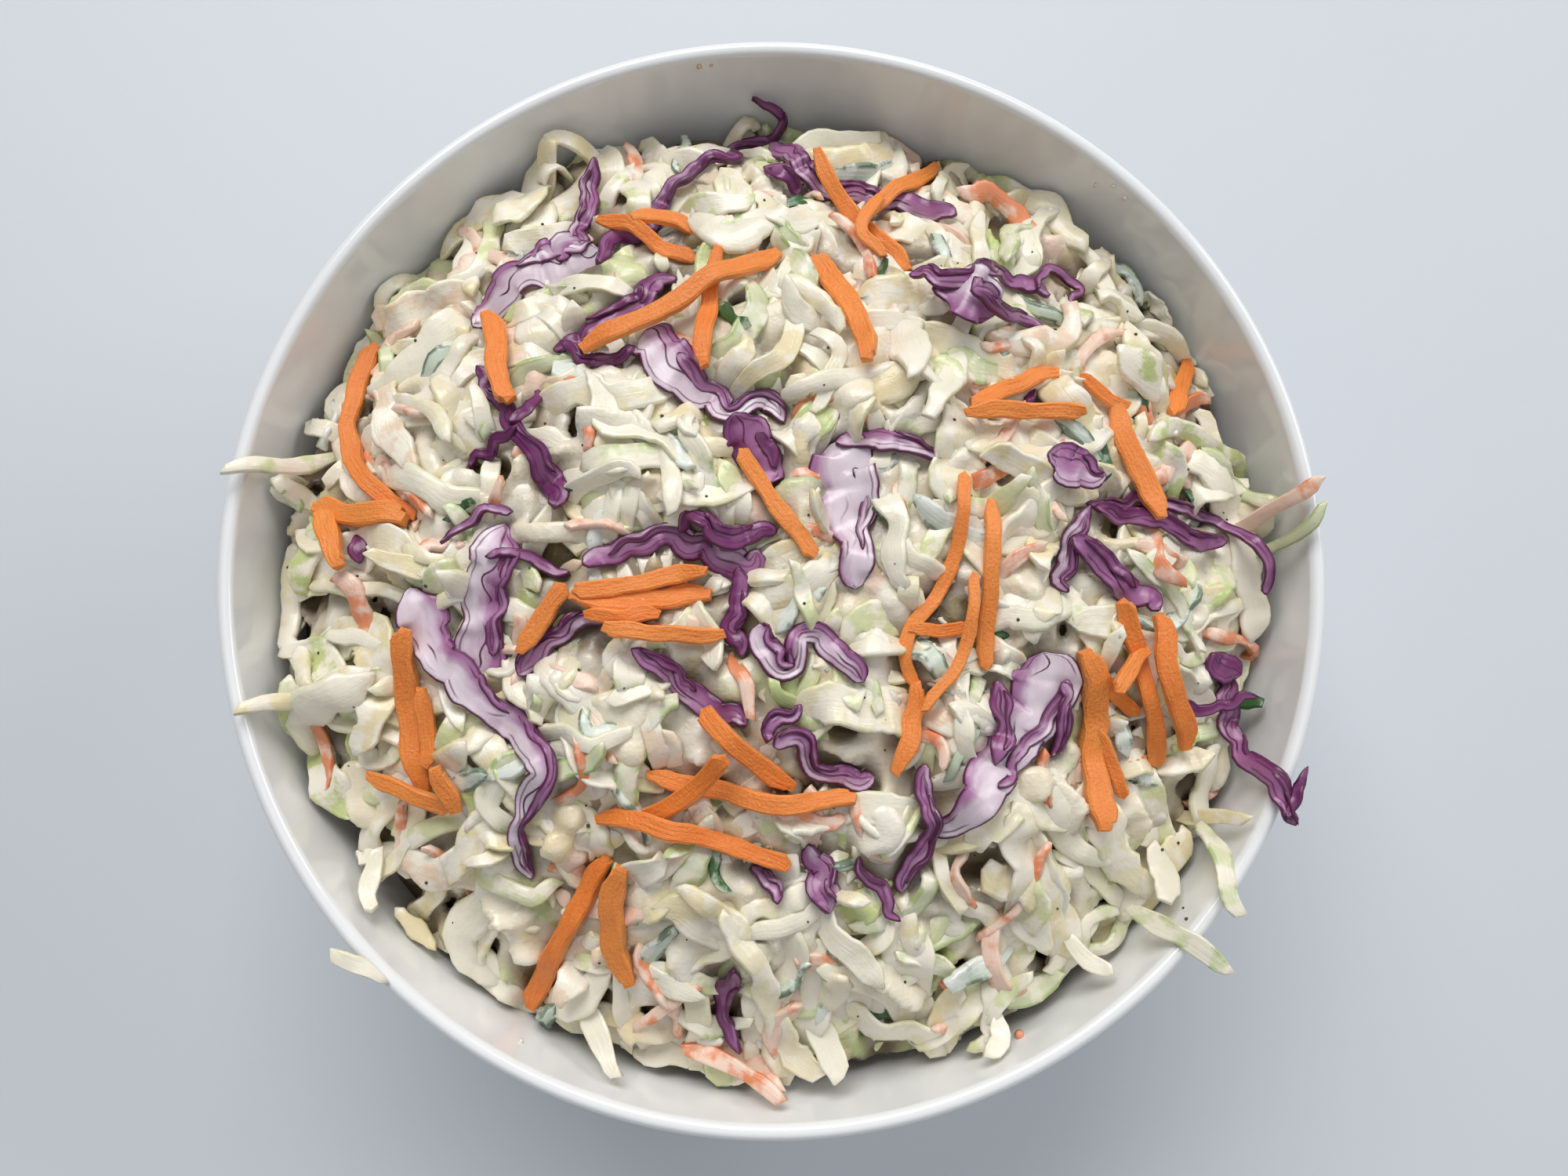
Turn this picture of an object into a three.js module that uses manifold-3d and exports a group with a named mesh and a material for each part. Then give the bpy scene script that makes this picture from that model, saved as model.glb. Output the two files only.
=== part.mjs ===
// A round white porcelain bowl heaped with dressed coleslaw, with raw carrot and red cabbage shreds on top.
// Millimetres. +Z is up, +Y is the back and the origin is the centre of the foot ring's underside.
import * as THREE from "three";
import { mergeVertices } from "three/addons/utils/BufferGeometryUtils.js";
import Module from "manifold-3d";

// Bowl: driving dimensions.
const BOWL_RADIUS = 77.5;
const BOWL_HEIGHT = 66;
const LIP_THICKNESS = 2.3;
const FLOOR_HEIGHT = 9;
const FOOT_RADIUS = 37;
const FOOT_WIDTH = 4.5;
const FOOT_HEIGHT = 4.5;
const RECESS_HEIGHT = 2.6;
const WALL_TAPER = 0.1;
const OUTER_TAPER = 0.07;
const BOWL_ROUNDNESS = 3;
const BOWL_SIDES = 56;
const WALL_STEPS = 8;
const WALL_CROWDING = 0.8;
const LIP_STEPS = 4;
const FOOT_CHAMFER = 0.6;
const FOOT_FILLET = 1.2;
const FOOT_FLANK_GAP = 1.5;
const RECESS_SLOPE = 1;

// Heap: the surface that the visible shreds reach, and the core below it.
const HEAP_TOP = 79;
const EDGE_DEPTH = 9;
const BACK_EDGE_DEPTH = 3.5;
const HEAP_ROUNDNESS = 2.4;
const HEAP_RADIUS = 74;
const CORE_COVER = 6;
const CORE_EDGE_DROP = 5;
const CORE_EDGE_SHARPNESS = 8;
const CORE_EDGE_GAP = 1;
const CORE_WALL_DROP = 2;
const CORE_SIDES = 32;
const CORE_RINGS = [0.93, 0.76, 0.52, 0.26];

// Gaps between solids that touch in the real food, and how far fused pieces sink into each other.
const GAP = 0.35;
const CORE_GAP = 0.45;
const REST_GAP = 0.38;
const MERGE_DISTANCE = 1e-4;
const FUSE_DEPTH = 0.9;
const CLUMP_SINK = 0.9;

// Height map: half width, and the step between its samples.
const MAP_HALF = 86;
const MAP_STEP = 0.5;
const MAP_COUNT = Math.round((2 * MAP_HALF) / MAP_STEP) + 1;
const MAP_MARGIN = 2;
const RIM_MARGIN = 0.8;
const NOTHING_BELOW = -1000;

// How strips come to rest: the drop below their highest support, and the slopes of a loose end.
const MAX_HANG = 16;
const MAX_END_RISE = 0.04;
const MAX_END_FALL = 0.45;
const REST_ROUNDS = 240;
const LIFT_ROUNDS = 6;
const FINE_SPACING = 1;
const WIDTH_ALLOWANCE = 0.6;
const GROUND_SAMPLES = 8;
const BANK_REACH = 2;
const MAX_BANK = 0.6;
const END_TAPER = 0.72;
const LEAF_CUP = 0.09;
const DRESSED_SAG = 0.12;
const RIBBON_SAG = 0.15;
const CARROT_SAG = 0.03;

// Distance between the stations of a strip.
const DRESSED_SPACING = 5.5;
const RIBBON_SPACING = 3.8;
const CARROT_SPACING = 5;

// Shreds that the fixed list leaves out are strewn over the bare parts of the heap.
const STREWN_COUNT = 37;
const STREWN_TRIES = 40;
const STREWN_SEED = 411;
const STREWN_LENGTH = [12, 22];
const STREWN_WIDTH = [2.4, 5];
const STREWN_BEND = 0.9;
const STREWN_MARGIN = 3;
const LINE_SPACING = 2;

// A dressed piece that hangs clear of the heap droops towards the middle of the bowl until it sinks in.
const DROOP_STEP = 0.7;
const DROOP_STEPS = 20;
const DROOP_RADIUS = 73.5;
const LEAST_FUSED = 4;
const GOLDEN_ANGLE = Math.PI * (3 - Math.sqrt(5));

// Thickness of each kind of piece.
const THICKNESS = {
  cabbage: 2.4,
  green_cabbage: 2,
  dressed_carrot: 2.2,
  cucumber: 2.1,
  herb: 1.4,
  carrot: 1.9,
  strand: 1.2,
  leaf: 1,
};

// Dressed pieces of the heap: kind, width, and the plan points (x, y) of the centreline.
const DRESSED_PIECES = [
  ["cabbage", 6.5, [-2.5, -19], [4, -20], [10.5, -17.5]],
  ["cabbage", 6, [-29, -20], [-23, -23]],
  ["cabbage", 6, [-58, -20], [-56.5, -29]],
  ["cabbage", 5.5, [11.5, 20], [16, 23], [21, 26.5]],
  ["cabbage", 5.4, [-47.5, -43.5], [-43, -40.5]],
  ["cabbage", 5, [-44.5, -50], [-38.5, -49], [-31, -49]],
  ["cabbage", 5, [-30.5, 3.5], [-25, 1]],
  ["cabbage", 5, [5.5, -61], [7, -69.5]],
  ["cabbage", 5, [33.5, -43.5], [40, -46.5]],
  ["cabbage", 5, [46.5, 2], [55, 1], [59.5, -3]],
  ["green_cabbage", 5, [-67.5, -12.5], [-65, -18], [-63, -22.5]],
  ["cabbage", 4.6, [-57.5, 12.5], [-49, 15.5], [-40.5, 18.5]],
  ["cabbage", 4.6, [-57, 3.5], [-49.5, 1], [-40, 0]],
  ["cabbage", 4.6, [11, -59.5], [17, -56]],
  ["cabbage", 4.6, [61.5, -15], [56.5, -19.5]],
  ["cabbage", 4.6, [52.5, -6], [59.5, -3]],
  ["cabbage", 4.6, [1, -45.5], [7.5, -49], [17, -48]],
  ["green_cabbage", 4.4, [18.5, -54.5], [23, -51.5], [29, -49]],
  ["cabbage", 4.4, [60, 12.5], [66.5, 14]],
  ["green_cabbage", 4.4, [-26, 5.5], [-19, 7], [-10, 8]],
  ["green_cabbage", 4.2, [-26, 11], [-19.5, 12.5], [-10, 14]],
  ["green_cabbage", 4.2, [-9.5, 45.5], [-1.5, 48.5], [7, 52]],
  ["green_cabbage", 4.2, [40.5, 30.5], [42.5, 25], [46, 19]],
  ["cabbage", 4, [-61.5, 35.5], [-54.5, 35], [-47.5, 34.5]],
  ["cabbage", 4, [12, -69], [17, -66]],
  ["cabbage", 4, [52, -39], [52.5, -46.5]],
  ["cabbage", 4, [40.5, -49], [47, -51.5]],
  ["green_cabbage", 4, [18, 12.5], [21.5, 17]],
  ["cabbage", 3.6, [-42, 47.5], [-45.5, 42.5], [-49.5, 38]],
  ["cabbage", 3.6, [-60, -30.5], [-54.5, -32], [-49, -31]],
  ["cabbage", 3.5, [6, 62], [11, 62.5], [16, 63]],
  ["cabbage", 3.4, [29.5, 15.5], [33, 11.5]],
  ["cabbage", 3.4, [41, -6], [47, -10], [46, -14]],
  ["cabbage", 3.4, [43, -36.5], [44, -45.5]],
  ["cucumber", 3.4, [56.5, 30.5], [61, 33]],
  ["green_cabbage", 3.4, [59, -40], [60, -45], [63, -48]],
  ["cabbage", 3.2, [-7, 29], [-3, 32.5]],
  ["cabbage", 3.2, [30, -57.5], [30, -63], [28.5, -66.5]],
  ["green_cabbage", 3.2, [48, 49], [49.5, 43], [51, 37.5], [54, 27]],
  ["cabbage", 3, [-65.5, 22], [-62, 21.5], [-58, 22]],
  ["green_cabbage", 3, [-33.5, -29], [-27, -28.5], [-22, -25]],
  ["cucumber", 2.8, [-57, 18.5], [-50.5, 20.5], [-41.5, 24.5]],
  ["cucumber", 2.8, [-23, 23], [-14, 24]],
  ["cabbage", 5, [-16.5, -46.5], [-9, -49], [-3, -54], [2.5, -58.5]],
  ["cabbage", 2.8, [-53, -39.5], [-49, -37.5], [-42.5, -35.5], [-31.5, -36]],
  ["cabbage", 2.8, [-25, -60], [-22.5, -66], [-20, -68.5]],
  ["cabbage", 2.8, [38, -52.5], [45, -56]],
  ["cabbage", 2.8, [60.5, -8.5], [55.5, -13]],
  ["cabbage", 2.8, [-27.5, 60], [-27, 63], [-30, 65], [-33.5, 64.5], [-35, 59], [-35.5, 54]],
  ["dressed_carrot", 2.8, [17.5, 10.5], [16.5, 5], [17, -0.5]],
  ["dressed_carrot", 2.8, [52.5, 26], [54, 20]],
  ["green_cabbage", 2.8, [33.5, 50], [38, 41.5]],
  ["green_cabbage", 2.8, [-49, -48.5], [-46, -53.5]],
  ["cabbage", 2.6, [-73, -21], [-66.5, -19], [-59.5, -16], [-51.5, -16]],
  ["cabbage", 2.6, [31, -64], [30, -68], [28, -71.5]],
  ["dressed_carrot", 2.6, [-12, -65], [-5, -68], [1.5, -72.5]],
  ["cucumber", 2.6, [-52, 25], [-47.5, 29.5], [-41, 30.5]],
  ["green_cabbage", 2.5, [58, 17], [57, 10]],
  ["cabbage", 2.4, [-58, -52], [-53.5, -54.5], [-49.5, -56]],
  ["cabbage", 2.4, [-76, 11.5], [-71, 13.5], [-67, 16], [-62.5, 18.5]],
  ["cabbage", 2.4, [30.5, 56.5], [41.5, 55]],
  ["cabbage", 2.4, [-10.5, 16], [-9.5, 10], [-6, 4]],
  ["cabbage", 2.4, [65, -21], [65, -27.5]],
  ["green_cabbage", 2.4, [50, -49], [53.5, -49.5], [56.5, -52.5], [61, -55.5]],
  ["green_cabbage", 2.2, [51.5, -49], [47.5, -54], [42.5, -54]],
  ["herb", 2.4, [65, -16], [67.5, -19], [71, -20.5]],
  ["cabbage", 2.3, [-53, 45.5], [-56, 44.5], [-59, 41.5], [-59, 38.5], [-57.5, 35.5]],
  ["cabbage", 2.3, [56.5, 21.5], [52, 16], [55, 13.5]],
  ["cabbage", 2.3, [57, -35], [61, -36], [65, -35.5]],
  ["dressed_carrot", 2.2, [65, 3.5], [71, 8], [76.4, 11.5]],
  ["cabbage", 2, [19, 6.5], [25, 6], [28, 2], [26.5, -2.5]],
  ["green_cabbage", 1.6, [67.5, 1], [73, 3.5], [76.4, 8]],
  ["green_cabbage", 1.5, [18.5, 25.5], [23, 21], [26, 16], [29.5, 15]],
  ["cabbage", 1.5, [-61, 10], [-66.5, 8], [-70, 4.5], [-69, 1], [-66, -0.5]],
];

// Raw red cabbage on top: a name, and its ribbons as kind, width at both ends and plan points.
const RED_CABBAGE = [
  ["leaf_back_left", ["leaf", 3.5, 6, [-44, 35], [-38.5, 40], [-31.5, 43.5], [-25.5, 46]],
    ["strand", 2.4, 1.4, [-31, 44], [-28, 53], [-27.5, 58], [-27, 62]]],
  ["strand_back_hook", ["strand", 1.2, 1.6, [-3.5, 72.5], [1.5, 72], [0.5, 69.5], [-5.5, 67.5], [-6.5, 62],
    [-12.5, 59], [-17.5, 51], [-20.5, 48], [-24, 47], [-25.5, 42.5]]],
  ["strand_back_right", ["strand", 2, 2.4, [-0.5, 67], [3, 62], [6.5, 57.5], [16, 55.5], [27, 52.5]]],
  ["curl_back", ["strand", 2, 2.4, [-1.5, 60], [1.5, 58], [3.5, 55]]],
  ["fold_back", ["strand", 1.6, 2.6, [-31, 29.5], [-27, 31.5], [-20, 35.5], [-14.5, 41]],
    ["strand", 1.2, 1.2, [-30, 30], [-25.5, 28], [-18, 27.5]]],
  ["fan_back", ["leaf", 7, 1.8, [-18, 31], [-13.5, 26], [-9, 21.5], [-6.5, 19], [-3.5, 20.5], [-1, 21.5],
    [1.5, 18]]],
  ["fold_right_back", ["leaf", 5, 6, [22.5, 38], [26, 36], [30, 33]],
    ["strand", 1.6, 1.6, [18.5, 39], [25, 37.5], [32, 40.5], [40, 40]],
    ["strand", 1.6, 1.4, [26, 35], [32.5, 33.5], [38, 34]],
    ["strand", 1, 1, [37.5, 39.5], [40.5, 44.5], [46, 42.5], [43.5, 38.5]]],
  ["fork_left", ["strand", 1.8, 2.4, [-41.5, 27.5], [-38.5, 22], [-35.5, 17.5], [-31.5, 12.5], [-29.5, 6]],
    ["strand", 1.2, 1.4, [-33, 24], [-34, 20], [-35.5, 17.5]],
    ["strand", 1.2, 1.2, [-35, 17.5], [-39.5, 15], [-42.5, 13]]],
  ["fold_left", ["leaf", 3.5, 7, [-37, 4.5], [-38.5, -2.5], [-39.5, -9], [-40.5, -16]],
    ["strand", 1.2, 1.2, [-38.5, 0.5], [-33, -0.5], [-27.5, -2.5]]],
  ["strand_left", ["strand", 1, 1.4, [-45.5, 2], [-40.5, 5.5], [-35.5, 6.5]]],
  ["leaf_left", ["leaf", 5, 2, [-50, -4], [-46, -12], [-40, -19], [-34.5, -23], [-30, -28.5], [-33, -33],
    [-34.5, -38.5], [-33.5, -43.5]]],
  ["fold_centre", ["strand", 2.2, 2.8, [-25.5, -1.5], [-20, 0.5], [-14, 2.5], [-9, 0.5], [-4, -1.5], [-2, 0]],
    ["strand", 2, 2.4, [-12.5, 2.5], [-11, 5], [-7, 2], [0, 3.5]],
    ["strand", 2, 1.6, [-5, -2], [-5.5, -9.5], [-4.5, -14]]],
  ["crumple_centre", ["leaf", 4.5, 5.5, [-5.5, 18.5], [-3, 14], [-0.5, 9.5]]],
  ["leaf_centre", ["leaf", 8, 3.4, [8, 15], [9.5, 8], [10.5, 0.5], [10.5, -5]],
    ["strand", 2.4, 1.6, [8, 15], [14.5, 15], [22, 12.5]]],
  ["wave_centre", ["strand", 2.6, 2.6, [-1.5, -9.5], [-0.5, -14.5], [2.5, -15.5], [3, -11.5], [6, -11],
    [9, -14.5], [11.5, -17]]],
  ["strand_centre_left", ["strand", 2, 1.6, [-34.5, -16], [-29.5, -11], [-24, -8.5], [-17, -9.5]]],
  ["strand_centre", ["strand", 1.8, 2.2, [-18.5, -12.5], [-14, -16], [-8.5, -20], [-4, -23]]],
  ["curl_front", ["strand", 1.6, 2.4, [-0.5, -25], [2.5, -24.5], [4.5, -26.5], [5, -28.5], [8.5, -29.5],
    [13, -30]],
    ["strand", 1.5, 1.8, [-1, -25], [0, -22.5], [3.5, -20.5]]],
  ["knot_right", ["strand", 1.6, 2.6, [43, 7], [40.5, 3.5], [39.5, 0.5], [39, -5]],
    ["strand", 1.2, 1.4, [42.5, 7], [53, 9], [63.5, 7], [69, 2.5], [71, -4]],
    ["strand", 1.8, 2.2, [43.5, 7], [53, 6], [59, 4], [65, 3]],
    ["strand", 2.2, 3, [40, 2.5], [46.5, -2.5], [53, -7]]],
  ["leaf_right", ["leaf", 4, 4, [36.5, 13.5], [40, 12], [44.5, 10]]],
  ["leaf_front_right", ["leaf", 8, 2.2, [36.5, -13], [36, -19], [33, -23.5], [28.5, -29], [24, -35.5],
    [20, -37]],
    ["strand", 1.8, 1.6, [38.5, -17], [38.5, -23.5], [37.5, -27]],
    ["strand", 2, 2.2, [29, -17], [30.5, -23], [29.5, -28]],
    ["strand", 1.8, 2, [19, -28], [20.5, -34.5], [19.5, -39.5], [16.5, -45]]],
  ["sliver_front", ["strand", 2.4, 3.4, [4, -38.5], [6, -42.5], [6.5, -47.5]]],
  ["splinter_front", ["strand", 1.4, 1.2, [10.5, -40.5], [14.5, -45.5], [16, -49]]],
  ["hook_front", ["strand", 1.5, 1.5, [-3.5, -41.5], [-0.5, -43.5], [0.5, -46]]],
  ["comma_front", ["strand", 2, 1.4, [-5, -55.5], [-7, -60], [-6.5, -64], [-4.5, -67.5]]],
  ["knot_front_right", ["strand", 2.4, 2, [66.5, -15], [65.5, -23.5], [68, -31], [70, -36.5]],
    ["strand", 3, 3.4, [62, -13.5], [67.5, -15.5]],
    ["strand", 0.9, 1.1, [72.5, -28.5], [69, -35.5]],
    ["strand", 1.1, 1.1, [56, -19.5], [61.5, -20.5], [68.5, -18.5]]],
  ["chip_left", ["strand", 2.4, 2, [-59.5, 4], [-58.5, 0]]],
  ["chip_back_right", ["strand", 1.6, 1.2, [35.5, 24.5], [36, 21]]],
];

// Raw carrot on top: a name, and its shreds as width and plan points.
const CARROT = [
  ["back_left", [2, [-26, 50.5], [-21, 49], [-15, 45], [-11, 44]], [1.9, [-21, 50], [-14, 50], [-12, 47.5]]],
  ["back_upright", [2, [-8.5, 44], [-9, 38], [-10, 24.5]]],
  ["back_long", [2.3, [-27, 29], [-20, 31.5], [-13.5, 34.5], [-9, 38], [1, 43]]],
  ["back_middle", [2.6, [5.5, 44], [7.5, 40.5], [10.5, 34.5], [13, 25.5]]],
  ["back_right", [2.1, [5.5, 61.5], [8, 56.5], [10.5, 53], [14.5, 48.5], [19.5, 42.5]]],
  ["back_right_pair", [1.9, [26, 64], [19.5, 58], [14, 52.5]], [1.6, [16, 54.5], [12.5, 48], [16, 43.5]]],
  ["left_upright", [2.5, [-40.5, 36], [-38.5, 28], [-36.5, 20.5]]],
  ["left_bundle", [2.2, [-60.5, 34.5], [-62, 25], [-62, 18.5], [-58, 12], [-50.5, 6]],
    [2.8, [-66.5, 9.5], [-59.5, 7], [-51, 6.5]], [2.6, [-64.5, 8], [-62.5, 3.5], [-59.5, -0.5]]],
  ["left_thick", [2.5, [-50.5, -9.5], [-50.5, -18], [-49.5, -26.5], [-48.5, -33]],
    [2.1, [-48.5, -17.5], [-47.5, -22], [-47, -28.5]]],
  ["left_low", [1.9, [-56.5, -29], [-51.5, -31], [-44, -34]], [2.8, [-44.5, -28], [-43.5, -34.5]]],
  ["centre_left", [2.2, [-28, -4], [-30.5, -8], [-34.5, -13]]],
  ["centre_bundle", [2.4, [-27, -6.5], [-18, -6.5], [-8.5, -5]], [2.1, [-26.5, -5.5], [-17.5, -4], [-9, -2]],
    [1.8, [-25, -8], [-20, -8.5], [-15, -8]]],
  ["centre_flat", [1.9, [-22.5, -10.5], [-14.5, -11], [-6.5, -11.5]]],
  ["centre_slant", [1.9, [-5, 13.5], [0, 6.5], [5, -1]]],
  ["front_slant", [2.3, [-10, -21], [-4.5, -26], [2, -31.5]]],
  ["front_flat", [2.2, [-17, -28.5], [-12, -30.5], [-6.5, -31.5], [1, -33], [10.5, -31.5]]],
  ["front_cross", [2.2, [-17.5, -35], [-11, -31.5], [-6.5, -26.5]]],
  ["front_long", [2.1, [-24, -34.5], [-19, -35], [-11, -37], [2, -41]]],
  ["front_left_long", [2.5, [-23, -40], [-28, -50], [-35.5, -62.5]]],
  ["front_left", [2.7, [-21, -41], [-22, -48.5], [-20.5, -58]]],
  ["right_loop", [1.6, [25.5, 11], [24.5, 2], [21.5, -5.5], [17.5, -10.5], [17, -14.5], [19, -18]],
    [1.6, [17.5, -10.5], [26, -9.5]], [2.1, [19, -17], [18, -23], [16, -29.5]]],
  ["right_straight", [1.8, [28.5, 7.5], [29, 0], [28.5, -9], [28, -15.5]]],
  ["right_thin", [1.4, [26, -2.5], [25.5, -10.5], [23.5, -15.5], [19, -21]]],
  ["right_upper", [2.1, [39.5, 27], [33, 24], [26.5, 20.5]]],
  ["right_flat", [2.1, [25, 19], [32.5, 19.5], [42.5, 19.5]]],
  ["right_pair", [2.5, [47.5, 23], [50, 15.5], [54.5, 6]], [1.5, [43, 26.5], [47, 23], [50.5, 22.5]]],
  ["right_edge", [2, [64, 33], [61, 27.5], [58, 22]]],
  ["right_thick", [2.9, [42.5, -12.5], [44, -20], [43.5, -28.5], [45, -37]], [1.8, [44, -16], [50.5, -21.5]],
    [1.5, [44.5, -23], [48, -33]]],
  ["right_fork", [2.1, [47.5, -5.5], [50, -13], [52, -20], [54, -28.5]], [1.8, [51, -12], [45.5, -18.5]]],
  ["right_long", [2.5, [53, -7.5], [53.5, -16], [58, -26]]],
];

const PORCELAIN = { color: 0xf1f1ee, roughness: 0.16, metalness: 0 };
const DRESSED_SLAW = { color: 0xe6e1cc, roughness: 0.38, metalness: 0 };
const RED_CABBAGE_SKIN = { color: 0x7c3d8a, roughness: 0.42, metalness: 0 };
const CARROT_FLESH = { color: 0xe8802a, roughness: 0.5, metalness: 0 };

const wasm = await Module();
wasm.setup();

// Bowl -------------------------------------------------------------------------------------------

const lipRadius = LIP_THICKNESS / 2;
const lipHeight = BOWL_HEIGHT - lipRadius;
const innerRadius = BOWL_RADIUS - LIP_THICKNESS;

// Radius of a wall at a share of its depth: 0 at the lip, 1 at the floor on the axis.
function wallRadius(topRadius, taper, share) {
  const round = (1 - share ** BOWL_ROUNDNESS) ** (1 / BOWL_ROUNDNESS);
  return topRadius * (1 - taper * share) * round;
}

// Wall points from the lip down to the axis, closer together towards the floor's bend.
function wallPoints(topRadius, taper, bottomHeight) {
  const points = [];
  for (let step = 0; step <= WALL_STEPS; step += 1) {
    const share = Math.sin((Math.PI / 2) * (step / WALL_STEPS)) ** WALL_CROWDING;
    const height = lipHeight + (bottomHeight - lipHeight) * share;
    points.push(new THREE.Vector2(wallRadius(topRadius, taper, share), height));
  }
  points[WALL_STEPS].x = 0;
  return points;
}

function lipPoints() {
  const points = [];
  for (let step = 1; step < LIP_STEPS; step += 1) {
    const angle = Math.PI * (1 - step / LIP_STEPS);
    const centre = BOWL_RADIUS - lipRadius;
    points.push(new THREE.Vector2(centre + lipRadius * Math.cos(angle), lipHeight + lipRadius * Math.sin(angle)));
  }
  return points;
}

const innerWall = wallPoints(innerRadius, WALL_TAPER, FLOOR_HEIGHT);

// The bowl's half section, from the inner floor over the lip and round the foot ring to the axis.
function bowlSection() {
  const outerWall = wallPoints(BOWL_RADIUS, OUTER_TAPER, FOOT_HEIGHT - 1);
  const flank = outerWall.filter((point) => point.x > FOOT_RADIUS + FOOT_FLANK_GAP && point.y > FOOT_HEIGHT);
  const foot = [
    [FOOT_RADIUS + FOOT_FILLET, FOOT_HEIGHT],
    [FOOT_RADIUS, FOOT_HEIGHT - FOOT_FILLET],
    [FOOT_RADIUS, FOOT_CHAMFER],
    [FOOT_RADIUS - FOOT_CHAMFER, 0],
    [FOOT_RADIUS - FOOT_WIDTH + FOOT_CHAMFER, 0],
    [FOOT_RADIUS - FOOT_WIDTH, FOOT_CHAMFER],
    [FOOT_RADIUS - FOOT_WIDTH - RECESS_SLOPE, RECESS_HEIGHT],
    [0, RECESS_HEIGHT],
  ];
  return [
    ...innerWall.slice().reverse(),
    ...lipPoints(),
    ...flank,
    ...foot.map(([radius, height]) => new THREE.Vector2(radius, height)),
  ];
}

// The same section grown outwards all round by a distance.
function grownSection(section, distance) {
  return section.map((point, index) => {
    const before = section[Math.max(index - 1, 0)];
    const after = section[Math.min(index + 1, section.length - 1)];
    const along = new THREE.Vector2().subVectors(after, before).normalize();
    const grown = new THREE.Vector2(point.x - along.y * distance, point.y + along.x * distance);
    if (point.x === 0) {
      grown.x = 0;
    }
    return grown;
  });
}

function latheSolid(section) {
  const geometry = new THREE.LatheGeometry(section, BOWL_SIDES);
  geometry.rotateX(Math.PI / 2);
  return outwardSolid(geometry);
}

// Solids -----------------------------------------------------------------------------------------

function solidFrom(positions, triangles) {
  const mesh = new wasm.Mesh({ numProp: 3, vertProperties: positions, triVerts: triangles });
  return new wasm.Manifold(mesh);
}

// A closed geometry as a solid, with its faces turned outwards.
function outwardSolid(geometry) {
  geometry.deleteAttribute("normal");
  geometry.deleteAttribute("uv");
  const merged = mergeVertices(geometry, MERGE_DISTANCE);
  const positions = new Float32Array(merged.attributes.position.array);
  const triangles = [];
  const source = merged.index.array;
  for (let first = 0; first < source.length; first += 3) {
    const [a, b, c] = source.slice(first, first + 3);
    if (a !== b && b !== c && c !== a) {
      triangles.push(a, b, c);
    }
  }
  if (signedVolume(positions, triangles) < 0) {
    triangles.reverse();
  }
  return solidFrom(positions, new Uint32Array(triangles));
}

function signedVolume(positions, triangles) {
  const corners = [new THREE.Vector3(), new THREE.Vector3(), new THREE.Vector3()];
  let volume = 0;
  for (let first = 0; first < triangles.length; first += 3) {
    corners.forEach((corner, side) => corner.fromArray(positions, 3 * triangles[first + side]));
    volume += corners[0].dot(corners[1].cross(corners[2])) / 6;
  }
  return volume;
}

// The largest body of a solid: loose scraps and sealed hollows are left out.
function largestBody(solid) {
  const bodies = solid.decompose();
  bodies.sort((first, second) => second.volume() - first.volume());
  return bodies[0];
}

function meshFrom(name, solid, look) {
  const source = solid.getMesh();
  const geometry = new THREE.BufferGeometry();
  geometry.setAttribute("position", new THREE.BufferAttribute(new Float32Array(source.vertProperties), 3));
  geometry.setIndex(new THREE.BufferAttribute(new Uint32Array(source.triVerts), 1));
  geometry.computeVertexNormals();
  const mesh = new THREE.Mesh(geometry, new THREE.MeshStandardMaterial(look));
  mesh.name = name;
  return mesh;
}

// Heap -------------------------------------------------------------------------------------------

// Height where the heap meets the wall, deeper at the back.
function edgeHeight(x, y) {
  const towardsBack = Math.max(0, y / Math.max(Math.hypot(x, y), 1));
  return BOWL_HEIGHT - EDGE_DEPTH - BACK_EDGE_DEPTH * towardsBack ** 2;
}

// Height that the shreds on top of the heap reach.
function heapHeight(x, y) {
  const edge = edgeHeight(x, y);
  const share = Math.min(Math.hypot(x, y) / HEAP_RADIUS, 1);
  return edge + (HEAP_TOP - edge) * (1 - share ** HEAP_ROUNDNESS);
}

function coreTopHeight(x, y) {
  const share = Math.hypot(x, y) / HEAP_RADIUS;
  const drop = CORE_EDGE_DROP * share ** CORE_EDGE_SHARPNESS;
  return heapHeight(x, y) - CORE_COVER - drop;
}

// Height of the bowl's inside at a radius.
function bowlInsideHeight(radius) {
  for (let index = 1; index < innerWall.length; index += 1) {
    const upper = innerWall[index - 1];
    const lower = innerWall[index];
    if (radius >= lower.x) {
      const share = Math.min((radius - lower.x) / (upper.x - lower.x), 1);
      return lower.y + (upper.y - lower.y) * share;
    }
  }
  return FLOOR_HEIGHT;
}

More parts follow.
